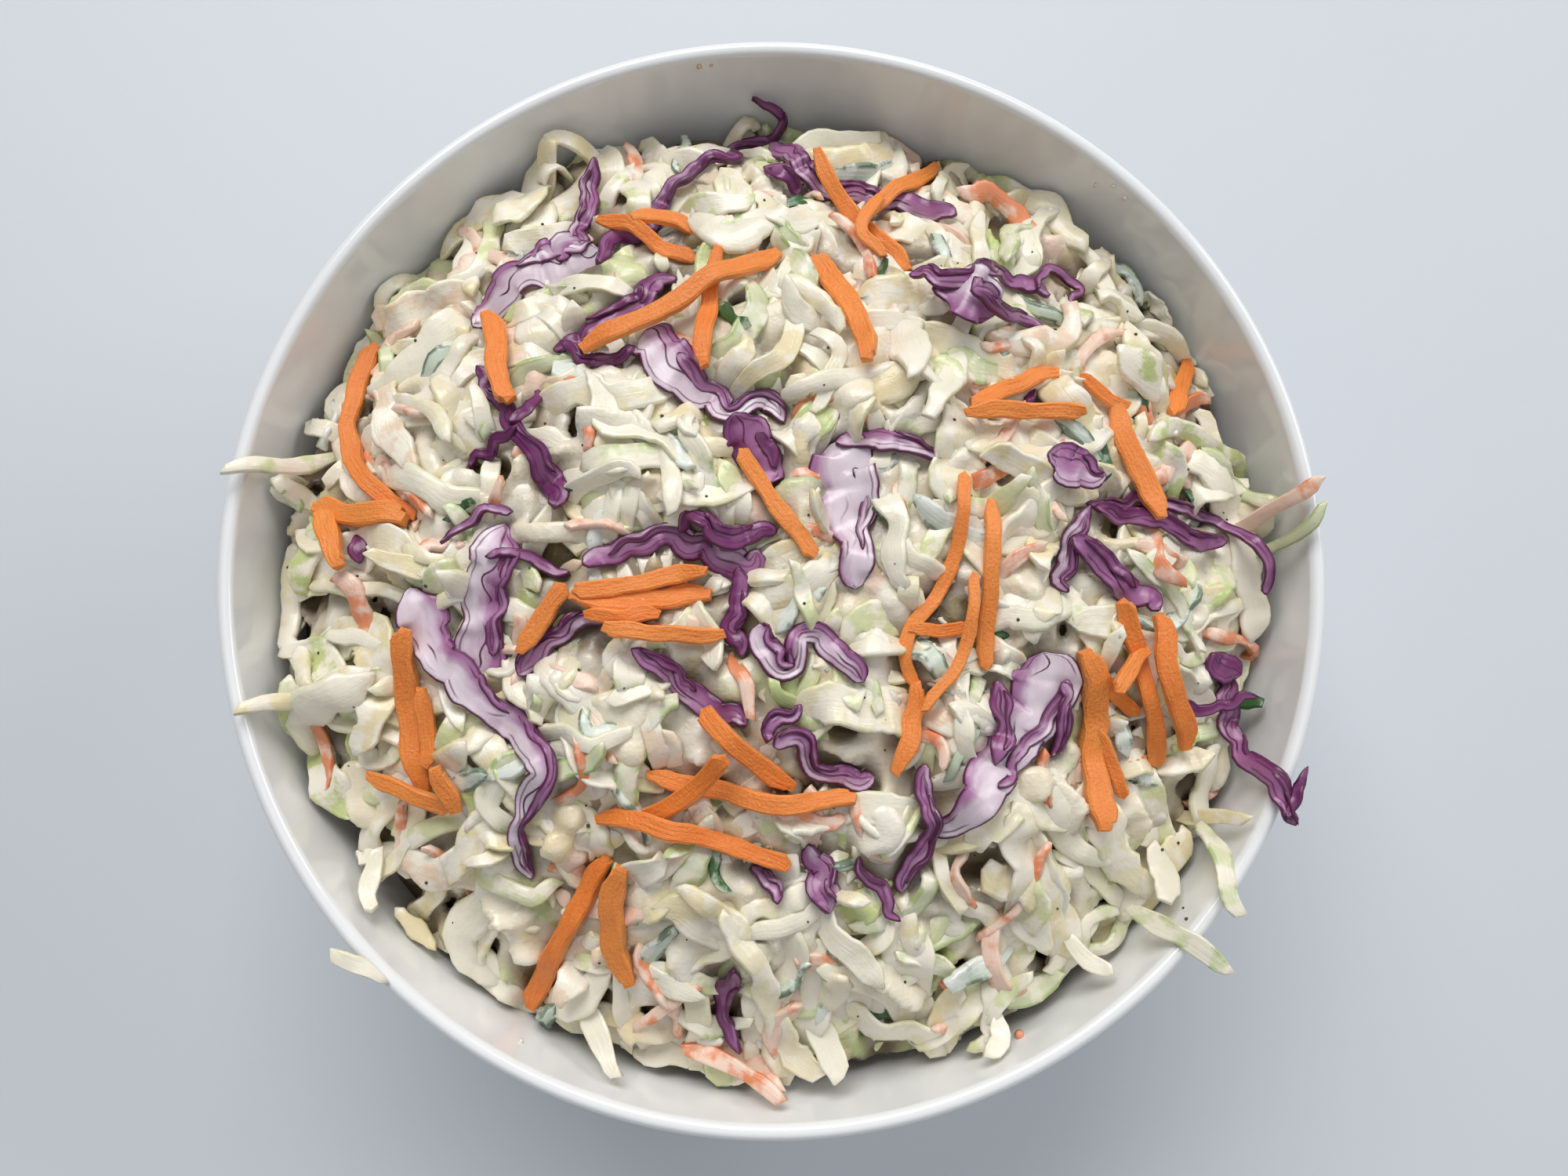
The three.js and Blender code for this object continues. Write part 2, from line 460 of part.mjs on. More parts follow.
// A closed body that fills the bowl below the shreds.
function coreSolid() {
  const rings = [];
  const wall = grownSection(innerWall.slice().reverse(), CORE_GAP);
  const wallTop = edgeHeight(0, HEAP_RADIUS) - CORE_COVER - CORE_EDGE_DROP - CORE_WALL_DROP;
  const below = wall.filter((point) => point.x > 0 && point.y < wallTop);
  below.forEach((point) => rings.push(() => [point.x, point.y]));
  const reach = innerRadius * (1 - WALL_TAPER * 0.3) - CORE_GAP - CORE_EDGE_GAP;
  rings.push((x, y) => [reach, coreTopHeight(x * HEAP_RADIUS, y * HEAP_RADIUS)]);
  CORE_RINGS.forEach((share) => {
    const radius = reach * share;
    rings.push((x, y) => [radius, coreTopHeight(x * radius, y * radius)]);
  });
  const positions = [0, 0, wall[0].y];
  rings.forEach((ring) => {
    for (let side = 0; side < CORE_SIDES; side += 1) {
      const angle = (2 * Math.PI * side) / CORE_SIDES;
      const [radius, height] = ring(Math.cos(angle), Math.sin(angle));
      positions.push(radius * Math.cos(angle), radius * Math.sin(angle), height);
    }
  });
  positions.push(0, 0, coreTopHeight(0, 0));
  const last = positions.length / 3 - 1;
  const triangles = [];
  for (let side = 0; side < CORE_SIDES; side += 1) {
    const next = (side + 1) % CORE_SIDES;
    triangles.push(0, 1 + next, 1 + side);
    for (let ring = 0; ring < rings.length - 1; ring += 1) {
      const lower = 1 + ring * CORE_SIDES;
      const upper = lower + CORE_SIDES;
      triangles.push(lower + side, lower + next, upper + next, lower + side, upper + next, upper + side);
    }
    const top = 1 + (rings.length - 1) * CORE_SIDES;
    triangles.push(top + side, top + next, last);
  }
  return solidFrom(new Float32Array(positions), new Uint32Array(triangles));
}

// Height map -------------------------------------------------------------------------------------

const heightMap = new Float64Array(MAP_COUNT * MAP_COUNT);
const clumpMap = new Float64Array(MAP_COUNT * MAP_COUNT);

function mapIndex(x, y) {
  const column = Math.round((x + MAP_HALF) / MAP_STEP);
  const row = Math.round((y + MAP_HALF) / MAP_STEP);
  return row * MAP_COUNT + column;
}

// Lifts the map around a point, over a small disc so that nothing slips between samples.
function raiseMap(map, x, y, height, spread) {
  for (let dx = -spread; dx <= spread; dx += 1) {
    for (let dy = -spread; dy <= spread; dy += 1) {
      const index = mapIndex(x + dx * MAP_STEP, y + dy * MAP_STEP);
      map[index] = Math.max(map[index], height);
    }
  }
}

function fillMapWithBowlAndCore() {
  heightMap.fill(NOTHING_BELOW);
  for (let x = -MAP_HALF + MAP_MARGIN; x < MAP_HALF - MAP_MARGIN; x += MAP_STEP) {
    for (let y = -MAP_HALF + MAP_MARGIN; y < MAP_HALF - MAP_MARGIN; y += MAP_STEP) {
      const radius = Math.hypot(x, y);
      if (radius < innerRadius) {
        raiseMap(heightMap, x, y, Math.max(coreTopHeight(x, y), bowlInsideHeight(radius) + GAP), 0);
      }
      if (radius > innerRadius - RIM_MARGIN && radius < BOWL_RADIUS + RIM_MARGIN) {
        raiseMap(heightMap, x, y, BOWL_HEIGHT + GAP, 0);
      }
    }
  }
}

// Adds the upper side of a solid to a map, plus the clearance that the next piece keeps.
function addToMap(map, solid, clearance) {
  const mesh = solid.getMesh();
  const [a, b, c] = [new THREE.Vector3(), new THREE.Vector3(), new THREE.Vector3()];
  for (let first = 0; first < mesh.triVerts.length; first += 3) {
    a.fromArray(mesh.vertProperties, 3 * mesh.triVerts[first]);
    b.fromArray(mesh.vertProperties, 3 * mesh.triVerts[first + 1]);
    c.fromArray(mesh.vertProperties, 3 * mesh.triVerts[first + 2]);
    const steps = Math.max(1, Math.ceil(Math.max(a.distanceTo(b), b.distanceTo(c), c.distanceTo(a)) / MAP_STEP));
    for (let i = 0; i <= steps; i += 1) {
      for (let j = 0; j <= steps - i; j += 1) {
        const u = i / steps;
        const v = j / steps;
        const point = a.clone().multiplyScalar(1 - u - v).addScaledVector(b, u).addScaledVector(c, v);
        raiseMap(map, point.x, point.y, point.z + clearance, 1);
      }
    }
  }
}

// Strips -----------------------------------------------------------------------------------------

// Evenly spaced points of a smooth line through the plan points.
function planLine(planPoints, spacing) {
  const corners = planPoints.map(([x, y]) => new THREE.Vector3(x, y, 0));
  if (corners.length === 2) {
    corners.splice(1, 0, corners[0].clone().lerp(corners[1], 0.5));
  }
  const curve = new THREE.CatmullRomCurve3(corners, false, "centripetal");
  const count = Math.max(3, Math.round(curve.getLength() / spacing) + 1);
  return curve.getSpacedPoints(count - 1);
}

function sidewaysAt(line, index) {
  const before = line[Math.max(index - 1, 0)];
  const after = line[Math.min(index + 1, line.length - 1)];
  const length = Math.hypot(after.x - before.x, after.y - before.y);
  return [-(after.y - before.y) / length, (after.x - before.x) / length];
}

// How much the heap rises across a strip, so that the strip lies with the slope.
function bankAt(point, [sideX, sideY]) {
  const left = heapHeight(point.x - sideX * BANK_REACH, point.y - sideY * BANK_REACH);
  const right = heapHeight(point.x + sideX * BANK_REACH, point.y + sideY * BANK_REACH);
  return THREE.MathUtils.clamp((right - left) / (2 * BANK_REACH), -MAX_BANK, MAX_BANK);
}

// Lowest height at which a banked cross-section clears a map.
function groundBelow(map, point, side, bank, width) {
  let ground = NOTHING_BELOW;
  for (let sample = 0; sample <= GROUND_SAMPLES; sample += 1) {
    const offset = width * (sample / GROUND_SAMPLES - 0.5);
    const index = mapIndex(point.x + side[0] * offset, point.y + side[1] * offset);
    if (map[index] > NOTHING_BELOW) {
      ground = Math.max(ground, map[index] - bank * offset);
    }
  }
  return ground;
}

// Height of a strip's loose end: it carries on, barely upwards and not steeply downwards.
function endHeight(ground, next, afterNext, sag) {
  const slope = THREE.MathUtils.clamp(next - afterNext, -MAX_END_FALL, MAX_END_RISE);
  return Math.max(ground, next + slope - sag);
}

// A strip laid down like a slightly sagging string: it rests on what it meets and spans what it doesn't.
// Where it crosses its own clump it stays at the clump's height.
function restingHeights(ground, clump, sag) {
  const last = ground.length - 1;
  const lowest = Math.max(...ground) - MAX_HANG;
  const heights = ground.map((height, index) => Math.max(height, clump[index], lowest));
  for (let round = 0; round < REST_ROUNDS; round += 1) {
    for (let index = 0; index <= last; index += 1) {
      if (clump[index] > NOTHING_BELOW) {
        continue;
      }
      if (index === 0) {
        heights[0] = endHeight(ground[0], heights[1], heights[2], sag);
      } else if (index === last) {
        heights[last] = endHeight(ground[last], heights[last - 1], heights[last - 2], sag);
      } else {
        heights[index] = Math.max(ground[index], (heights[index - 1] + heights[index + 1]) / 2 - sag);
      }
    }
  }
  return heights;
}

// Lays a strip along its plan points and returns its stations: centre, side direction, bank and width.
function layStrip({ widths, planPoints, spacing, sag }) {
  const fine = planLine(planPoints, FINE_SPACING);
  const widthAt = (index) => THREE.MathUtils.lerp(widths[0], widths[1], index / (fine.length - 1));
  const groundOn = (map) => fine.map((point, index) => {
    const side = sidewaysAt(fine, index);
    return groundBelow(map, point, side, bankAt(point, side), widthAt(index) + WIDTH_ALLOWANCE);
  });
  const ground = groundOn(heightMap);
  const heights = restingHeights(ground, groundOn(clumpMap), sag);
  const count = Math.max(3, Math.round(((fine.length - 1) * FINE_SPACING) / spacing) + 1);
  const picks = Array.from({ length: count }, (_, k) => Math.round((k * (fine.length - 1)) / (count - 1)));
  const lifted = picks.map((pick) => heights[pick]);
  for (let round = 0; round < LIFT_ROUNDS; round += 1) {
    for (let k = 0; k < count - 1; k += 1) {
      let lift = 0;
      for (let index = picks[k]; index <= picks[k + 1]; index += 1) {
        const share = (index - picks[k]) / (picks[k + 1] - picks[k]);
        lift = Math.max(lift, ground[index] - (lifted[k] * (1 - share) + lifted[k + 1] * share));
      }
      lifted[k] += lift;
      lifted[k + 1] += lift;
    }
  }
  return picks.map((pick, k) => {
    const side = sidewaysAt(fine, pick);
    const { x, y } = fine[pick];
    return { x, y, z: lifted[k], side, bank: bankAt(fine[pick], side), width: widthAt(pick) };
  });
}

// A closed strip through the stations. Ends taper, and a leaf is cupped along its middle.
function stripSolid(stations, thickness, cup) {
  const across = cup > 0 ? [-1, 0, 1] : [-1, 1];
  const positions = [];
  const last = stations.length - 1;
  stations.forEach(({ x, y, z, side, bank, width }, index) => {
    const taper = index === 0 || index === last ? END_TAPER : 1;
    [0, thickness].forEach((lift) => {
      across.forEach((offset) => {
        const reach = (offset * width * taper) / 2;
        const cupped = cup * width * offset * offset * taper;
        positions.push(x + side[0] * reach, y + side[1] * reach, z + bank * reach + cupped + lift);
      });
    });
  });
  const columns = across.length;
  const perStation = 2 * columns;
  const triangles = [];
  const quad = (a, b, c, d) => triangles.push(a, b, c, a, c, d);
  for (let index = 0; index < last; index += 1) {
    const here = index * perStation;
    const next = here + perStation;
    for (let column = 0; column < columns - 1; column += 1) {
      quad(here + column, next + column, next + column + 1, here + column + 1);
      const top = here + columns + column;
      quad(top, top + 1, top + perStation + 1, top + perStation);
    }
    quad(here, here + columns, next + columns, next);
    const edge = here + columns - 1;
    quad(edge, edge + perStation, edge + perStation + columns, edge + columns);
  }
  for (let column = 0; column < columns - 1; column += 1) {
    quad(column, column + 1, column + columns + 1, column + columns);
    const end = last * perStation + column;
    quad(end, end + columns, end + columns + 1, end + 1);
  }
  if (signedVolume(positions, triangles) < 0) {
    triangles.reverse();
  }
  return solidFrom(new Float32Array(positions), new Uint32Array(triangles));
}

// Dressed pieces ---------------------------------------------------------------------------------

function seededRandom(seed) {
  let state = seed >>> 0;
  return () => {
    state = (state + 0x6d2b79f5) >>> 0;
    let mixed = Math.imul(state ^ (state >>> 15), state | 1);
    mixed ^= mixed + Math.imul(mixed ^ (mixed >>> 7), mixed | 61);
    return ((mixed ^ (mixed >>> 14)) >>> 0) / 4294967296;
  };
}

// How much of a piece's droop a station takes: none at the wall, all of it at the innermost station.
function droopShare({ x, y }, innermost) {
  return THREE.MathUtils.clamp((DROOP_RADIUS - Math.hypot(x, y)) / (DROOP_RADIUS - innermost), 0, 1);
}

// One dressed piece, sunk a little so that it fuses with what it lies on. Null where nothing is near.
function dressedPiece([kind, width, ...planPoints], slaw) {
  const stations = layStrip({ widths: [width, width], planPoints, spacing: DRESSED_SPACING, sag: DRESSED_SAG });
  const innermost = Math.min(...stations.map(({ x, y }) => Math.hypot(x, y)), DROOP_RADIUS - 1);
  for (let step = 0; step < DROOP_STEPS; step += 1) {
    const lowered = stations.map((station) => {
      const droop = step * DROOP_STEP * droopShare(station, innermost);
      return { ...station, z: station.z - FUSE_DEPTH - REST_GAP - droop };
    });
    const solid = stripSolid(lowered, THICKNESS[kind] + FUSE_DEPTH, 0);
    if (slaw.intersect(solid).volume() > LEAST_FUSED) {
      return solid;
    }
  }
  return null;
}

// Points along the middle of every piece of the salad.
const pieceLines = [];

function noteLine(planPoints) {
  pieceLines.push(...planLine(planPoints, LINE_SPACING));
}

// Distance from a spot to the nearest piece, or to the edge of the heap.
function roomAt(x, y) {
  const toEdge = HEAP_RADIUS - Math.hypot(x, y);
  return pieceLines.reduce((room, point) => Math.min(room, Math.hypot(point.x - x, point.y - y)), toEdge);
}

// The barest of a few spots spread over the heap.
function barestSpot(random, turn) {
  let best = { x: 0, y: 0, room: 0 };
  for (let attempt = 0; attempt < STREWN_TRIES; attempt += 1) {
    const angle = (turn * STREWN_TRIES + attempt) * GOLDEN_ANGLE;
    const radius = HEAP_RADIUS * Math.sqrt(random());
    const [x, y] = [radius * Math.cos(angle), radius * Math.sin(angle)];
    const room = roomAt(x, y);
    if (room > best.room) {
      best = { x, y, room };
    }
  }
  return best;
}

function strewnPiece(random, turn) {
  const { x, y } = barestSpot(random, turn);
  const heading = Math.PI * random();
  const length = THREE.MathUtils.lerp(...STREWN_LENGTH, random());
  const bend = STREWN_BEND * (random() - 0.5);
  const width = THREE.MathUtils.lerp(...STREWN_WIDTH, random() ** 2);
  const points = [-0.5, 0, 0.5].map((share) => {
    const angle = heading + bend * share;
    const point = new THREE.Vector2(x + length * share * Math.cos(angle), y + length * share * Math.sin(angle));
    return point.clampLength(0, HEAP_RADIUS - STREWN_MARGIN).toArray();
  });
  return ["cabbage", Math.round(width * 10) / 10, ...points];
}

function slawSolid(keepOut) {
  fillMapWithBowlAndCore();
  clumpMap.fill(NOTHING_BELOW);
  let slaw = coreSolid();
  const lay = (piece) => {
    const solid = dressedPiece(piece, slaw);
    if (solid !== null) {
      addToMap(heightMap, solid, REST_GAP);
      slaw = slaw.add(solid);
    }
  };
  DRESSED_PIECES.forEach(([, , ...planPoints]) => noteLine(planPoints));
  RED_CABBAGE.forEach(([, ...ribbons]) => ribbons.forEach(([, , , ...planPoints]) => noteLine(planPoints)));
  CARROT.forEach(([, ...shreds]) => shreds.forEach(([, ...planPoints]) => noteLine(planPoints)));
  const random = seededRandom(STREWN_SEED);
  for (let turn = 0; turn < STREWN_COUNT; turn += 1) {
    const piece = strewnPiece(random, turn);
    noteLine(piece.slice(2));
    lay(piece);
  }
  DRESSED_PIECES.forEach(lay);
  return largestBody(slaw.subtract(keepOut));
}

// Garnish ----------------------------------------------------------------------------------------

// One garnish node: its ribbons are laid one after another, each sunk into those of the node below it.
function garnishSolid(ribbons) {
  let whole = null;
  clumpMap.fill(NOTHING_BELOW);
  ribbons.forEach(({ kind, widths, planPoints, spacing, sag }) => {
    const stations = layStrip({ widths, planPoints, spacing, sag });
    const solid = stripSolid(stations, THICKNESS[kind], kind === "leaf" ? LEAF_CUP : 0);
    addToMap(clumpMap, solid, -THICKNESS[kind] * CLUMP_SINK);
    whole = whole === null ? solid : whole.add(solid);
  });
  clumpMap.fill(NOTHING_BELOW);
  addToMap(heightMap, whole, REST_GAP);
  return whole;
}

function redCabbageMesh([name, ...ribbons]) {
  const parts = ribbons.map(([kind, startWidth, endWidth, ...planPoints]) => {
    return { kind, widths: [startWidth, endWidth], planPoints, spacing: RIBBON_SPACING, sag: RIBBON_SAG };
  });
  return meshFrom(`red_cabbage_${name}`, garnishSolid(parts), RED_CABBAGE_SKIN);
}

function carrotMesh([name, ...shreds]) {
  const parts = shreds.map(([width, ...planPoints]) => {
    return { kind: "carrot", widths: [width, width], planPoints, spacing: CARROT_SPACING, sag: CARROT_SAG };
  });
  return meshFrom(`carrot_${name}`, garnishSolid(parts), CARROT_FLESH);
}

// Assembly ---------------------------------------------------------------------------------------

const coleslaw = new THREE.Group();
const section = bowlSection();
coleslaw.add(meshFrom("bowl", latheSolid(section), PORCELAIN));

const slaw = slawSolid(latheSolid(grownSection(section, GAP)));
fillMapWithBowlAndCore();
addToMap(heightMap, slaw, REST_GAP);
coleslaw.add(meshFrom("slaw", slaw, DRESSED_SLAW));

RED_CABBAGE.forEach((entry) => coleslaw.add(redCabbageMesh(entry)));
CARROT.forEach((entry) => coleslaw.add(carrotMesh(entry)));

export default coleslaw;
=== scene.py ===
"""A white porcelain bowl heaped with dressed coleslaw, with raw carrot and red cabbage shreds on top.

Shapes are worked out in millimetres in the frame of the CAD model, and meshes are made in metres.
+Z is up, +Y is the back, and the origin is the middle of the foot ring's underside.
"""

import math

import bpy
import numpy as np
from mathutils import Matrix, Vector
from mathutils.bvhtree import BVHTree


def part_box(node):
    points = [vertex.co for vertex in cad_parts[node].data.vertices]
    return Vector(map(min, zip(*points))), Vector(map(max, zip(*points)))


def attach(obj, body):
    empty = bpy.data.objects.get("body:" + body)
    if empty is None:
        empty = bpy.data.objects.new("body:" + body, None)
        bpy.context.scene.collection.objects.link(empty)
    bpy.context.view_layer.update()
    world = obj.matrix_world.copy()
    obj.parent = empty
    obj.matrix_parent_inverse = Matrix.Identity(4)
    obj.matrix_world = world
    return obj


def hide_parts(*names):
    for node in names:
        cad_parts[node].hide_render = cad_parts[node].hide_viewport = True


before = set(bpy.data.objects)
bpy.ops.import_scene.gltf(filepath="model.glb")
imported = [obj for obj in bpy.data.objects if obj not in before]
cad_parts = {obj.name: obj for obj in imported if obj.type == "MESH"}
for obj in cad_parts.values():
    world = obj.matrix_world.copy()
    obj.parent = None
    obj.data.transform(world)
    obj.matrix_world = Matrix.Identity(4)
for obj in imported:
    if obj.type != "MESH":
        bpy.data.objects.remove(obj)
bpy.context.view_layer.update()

MM = 0.001
SEED = 4711
GOLDEN_ANGLE = math.pi * (3 - math.sqrt(5))

# Bowl, as in the CAD model.
BOWL_RADIUS = 77.5
BOWL_HEIGHT = 66.0
LIP_THICKNESS = 2.3
LIP_HEIGHT = BOWL_HEIGHT - LIP_THICKNESS / 2
FLOOR_HEIGHT = 9.0
FOOT_RADIUS = 37.0
FOOT_WIDTH = 4.5
FOOT_HEIGHT = 4.5
RECESS_HEIGHT = 2.6
WALL_TAPER = 0.1
OUTER_TAPER = 0.07
BOWL_ROUNDNESS = 3.0
BOWL_SIDES = 256
WALL_STEPS = 40
LIP_STEPS = 14

# Heap, as in the CAD model: the surface that the shreds reach, and the core below it.
HEAP_TOP = 79.0
EDGE_DEPTH = 9.0
BACK_EDGE_DEPTH = 3.5
HEAP_ROUNDNESS = 2.4
HEAP_RADIUS = 74.0
CORE_COVER = 7.0
CORE_EDGE_DROP = 5.0
CORE_SIDES = 96
CORE_RINGS = 24
CORE_WALL_RINGS = 12
CORE_WALL_HEIGHT = 42.0
CORE_TOP_HEIGHT = 50.0
WALL_GAP = 0.5
LEAST_COVER = 1.7

# Height maps.
MAP_HALF = 84.0
MAP_STEP = 0.5
MAP_COUNT = int(round(2 * MAP_HALF / MAP_STEP)) + 1
RAY_TOP = 200.0
NOTHING = -1000.0
OPEN_SKY = 1000.0

# Raw carrot: thickness in the CAD model, widening, lift, and further lift for each shred on top.
CARROT_THICKNESS = 1.9
CARROT_WIDENING = 1.16
CARROT_LIFT = 0.15
CARROT_STACKING = 0.3
CARROT_CRISP = 28.0

# Red cabbage: for each kind of slice, its thickness in the CAD model, its own thickness, its widening, its
# sideways sway, its roll and the lift of its fold. Then what all slices share.
SLICE_KINDS = {"strand": (1.2, 0.75, 1.42, 0.4, 0.3, 0.26), "leaf": (1.0, 0.55, 1.3, 0.3, 0.1, 0.12)}
SLICE_LIFT = 0.7
SLICE_STACKING = 0.25
LEAST_SLICE_WIDTH = 0.5
FOLD_THICKNESS = 0.4
LEAST_FOLD_STATIONS = 8
LEAST_FOLD_WIDTH = 1.8
SECOND_LINE_INSET = 0.95

# Stations of a shred's line: distances between them, steps of the curve they lie on, their least number.
FINE_SPACING = 1.08
CARROT_SPACING = 0.6
SLICE_SPACING = 0.5
CURVE_STEPS = 12
LEAST_STATIONS = 4

# Share of a strip's width that is left at the tip of a slanted cut.
CUT_END = 0.06

# Readings between samples stay this far short of the count, so that each has a next sample.
END_GAP = 1.001

# Loose shreds and blobs of dressing.
FINE_COUNT = 840
LAYERS = 4
LAYERS_REACH = 0.66
BLOB_COUNT = 300
TOP_BLOB_COUNT = 60
TOP_COUNT = 316
VOXEL = 0.8
SUNK_DEPTH = 0.5
LAYING_REACH = 0.6
RIM_CUP = 0.08

# Gap below the raw shreds, and how far across a strip it is kept, as a share of the strip's width.
GARNISH_GAP = 0.15
GARNISH_SHARE = 0.42

# Grains and crumbs.
GRAIN_SIDES = 6
GRAIN_WAIST = 0.85
GRAIN_UNEVENNESS = 0.15
CRUMB_SINKING = 0.35
SPECK_COUNT = 110
SPECK_SIZE = (0.13, 0.3)

# Materials.
NOISE_ROUGHNESS = 0.55

# Table, camera and picture.
TABLE_SIZE = 3.0
CAMERA_PLACE = (-1.468, -23.504, 232.595)
CAMERA_TILT = 0.118
CAMERA_YAW = 0.016
NEAREST_SEEN = 0.01
IMAGE_WIDTH = 2000
FOCAL_PIXELS = 1540
SENSOR_WIDTH = 36.0
ROOM_COLOUR = (0.86, 0.92, 1.0, 1.0)
ROOM_LIGHT = 0.17

# Dressed pieces that show on the heap: kind, width and the plan points of the centreline.
DRESSED_PIECES = [
    ("cabbage", 6.5, (-2.5, -19), (4, -20), (10.5, -17.5)),
    ("cabbage", 6, (-29, -20), (-23, -23)),
    ("cabbage", 6, (-58, -20), (-56.5, -29)),
    ("cabbage", 5.5, (11.5, 20), (16, 23), (21, 26.5)),
    ("cabbage", 5.4, (-47.5, -43.5), (-43, -40.5)),
    ("cabbage", 5, (-44.5, -50), (-38.5, -49), (-31, -49)),
    ("cabbage", 5, (-30.5, 3.5), (-25, 1)),
    ("cabbage", 5, (5.5, -61), (7, -69.5)),
    ("cabbage", 5, (33.5, -43.5), (40, -46.5)),
    ("cabbage", 5, (46.5, 2), (55, 1), (59.5, -3)),
    ("green_cabbage", 5, (-67.5, -12.5), (-65, -18), (-63, -22.5)),
    ("cabbage", 4.6, (-57.5, 12.5), (-49, 15.5), (-40.5, 18.5)),
    ("cabbage", 4.6, (-57, 3.5), (-49.5, 1), (-40, 0)),
    ("cabbage", 4.6, (11, -59.5), (17, -56)),
    ("cabbage", 4.6, (61.5, -15), (56.5, -19.5)),
    ("cabbage", 4.6, (52.5, -6), (59.5, -3)),
    ("cabbage", 4.6, (1, -45.5), (7.5, -49), (17, -48)),
    ("green_cabbage", 4.4, (18.5, -54.5), (23, -51.5), (29, -49)),
    ("cabbage", 4.4, (60, 12.5), (66.5, 14)),
    ("green_cabbage", 4.4, (-26, 5.5), (-19, 7), (-10, 8)),
    ("green_cabbage", 4.2, (-26, 11), (-19.5, 12.5), (-10, 14)),
    ("green_cabbage", 4.2, (-9.5, 45.5), (-1.5, 48.5), (7, 52)),
    ("green_cabbage", 4.2, (40.5, 30.5), (42.5, 25), (46, 19)),
    ("cabbage", 4, (-61.5, 35.5), (-54.5, 35), (-47.5, 34.5)),
    ("cabbage", 4, (12, -69), (17, -66)),
    ("cabbage", 4, (52, -39), (52.5, -46.5)),
    ("cabbage", 4, (40.5, -49), (47, -51.5)),
    ("green_cabbage", 4, (18, 12.5), (21.5, 17)),
    ("cabbage", 3.6, (-42, 47.5), (-45.5, 42.5), (-49.5, 38)),
    ("cabbage", 3.6, (-60, -30.5), (-54.5, -32), (-49, -31)),
    ("cabbage", 3.5, (6, 62), (11, 62.5), (16, 63)),
    ("cabbage", 3.4, (29.5, 15.5), (33, 11.5)),
    ("cabbage", 3.4, (41, -6), (47, -10), (46, -14)),
    ("cabbage", 3.4, (43, -36.5), (44, -45.5)),
    ("cucumber", 3.4, (56.5, 30.5), (61, 33)),
    ("green_cabbage", 3.4, (59, -40), (60, -45), (63, -48)),
    ("cabbage", 3.2, (-7, 29), (-3, 32.5)),
    ("cabbage", 3.2, (30, -57.5), (30, -63), (28.5, -66.5)),
    ("green_cabbage", 3.2, (48, 49), (49.5, 43), (51, 37.5), (54, 27)),
    ("cabbage", 3, (-65.5, 22), (-62, 21.5), (-58, 22)),
    ("green_cabbage", 3, (-33.5, -29), (-27, -28.5), (-22, -25)),
    ("cucumber", 2.8, (-57, 18.5), (-50.5, 20.5), (-41.5, 24.5)),
    ("cucumber", 2.8, (-23, 23), (-14, 24)),
    ("cabbage", 5, (-16.5, -46.5), (-9, -49), (-3, -54), (2.5, -58.5)),
    ("cabbage", 2.8, (-53, -39.5), (-49, -37.5), (-42.5, -35.5), (-31.5, -36)),
    ("cabbage", 2.8, (-25, -60), (-22.5, -66), (-20, -68.5)),
    ("cabbage", 2.8, (38, -52.5), (45, -56)),
    ("cabbage", 2.8, (60.5, -8.5), (55.5, -13)),
    ("cabbage", 2.8, (-27.5, 60), (-27, 63), (-30, 65), (-33.5, 64.5), (-35, 59), (-35.5, 54)),
    ("dressed_carrot", 2.8, (17.5, 10.5), (16.5, 5), (17, -0.5)),
    ("dressed_carrot", 2.8, (52.5, 26), (54, 20)),
    ("green_cabbage", 2.8, (33.5, 50), (38, 41.5)),
    ("green_cabbage", 2.8, (-49, -48.5), (-46, -53.5)),
    ("cabbage", 2.6, (-73, -21), (-66.5, -19), (-59.5, -16), (-51.5, -16)),
    ("cabbage", 2.6, (31, -64), (30, -68), (28, -71.5)),
    ("dressed_carrot", 2.6, (-12, -65), (-5, -68), (1.5, -72.5)),
    ("cucumber", 2.6, (-52, 25), (-47.5, 29.5), (-41, 30.5)),
    ("green_cabbage", 2.5, (58, 17), (57, 10)),
    ("cabbage", 2.4, (-58, -52), (-53.5, -54.5), (-49.5, -56)),
    ("cabbage", 2.4, (-76, 11.5), (-71, 13.5), (-67, 16), (-62.5, 18.5)),
    ("cabbage", 2.4, (30.5, 56.5), (41.5, 55)),
    ("cabbage", 2.4, (-10.5, 16), (-9.5, 10), (-6, 4)),
    ("cabbage", 2.4, (65, -21), (65, -27.5)),
    ("green_cabbage", 2.4, (50, -49), (53.5, -49.5), (56.5, -52.5), (61, -55.5)),
    ("green_cabbage", 2.2, (51.5, -49), (47.5, -54), (42.5, -54)),
    ("herb", 2.4, (65, -16), (67.5, -19), (71, -20.5)),
    ("cabbage", 2.3, (-53, 45.5), (-56, 44.5), (-59, 41.5), (-59, 38.5), (-57.5, 35.5)),
    ("cabbage", 2.3, (56.5, 21.5), (52, 16), (55, 13.5)),
    ("cabbage", 2.3, (57, -35), (61, -36), (65, -35.5)),
    ("dressed_carrot", 2.2, (65, 3.5), (71, 8), (76.4, 11.5)),
    ("cabbage", 2, (19, 6.5), (25, 6), (28, 2), (26.5, -2.5)),
    ("green_cabbage", 1.6, (67.5, 1), (73, 3.5), (76.4, 8)),
    ("green_cabbage", 1.5, (18.5, 25.5), (23, 21), (26, 16), (29.5, 15)),
    ("cabbage", 1.5, (-61, 10), (-66.5, 8), (-70, 4.5), (-69, 1), (-66, -0.5)),
]

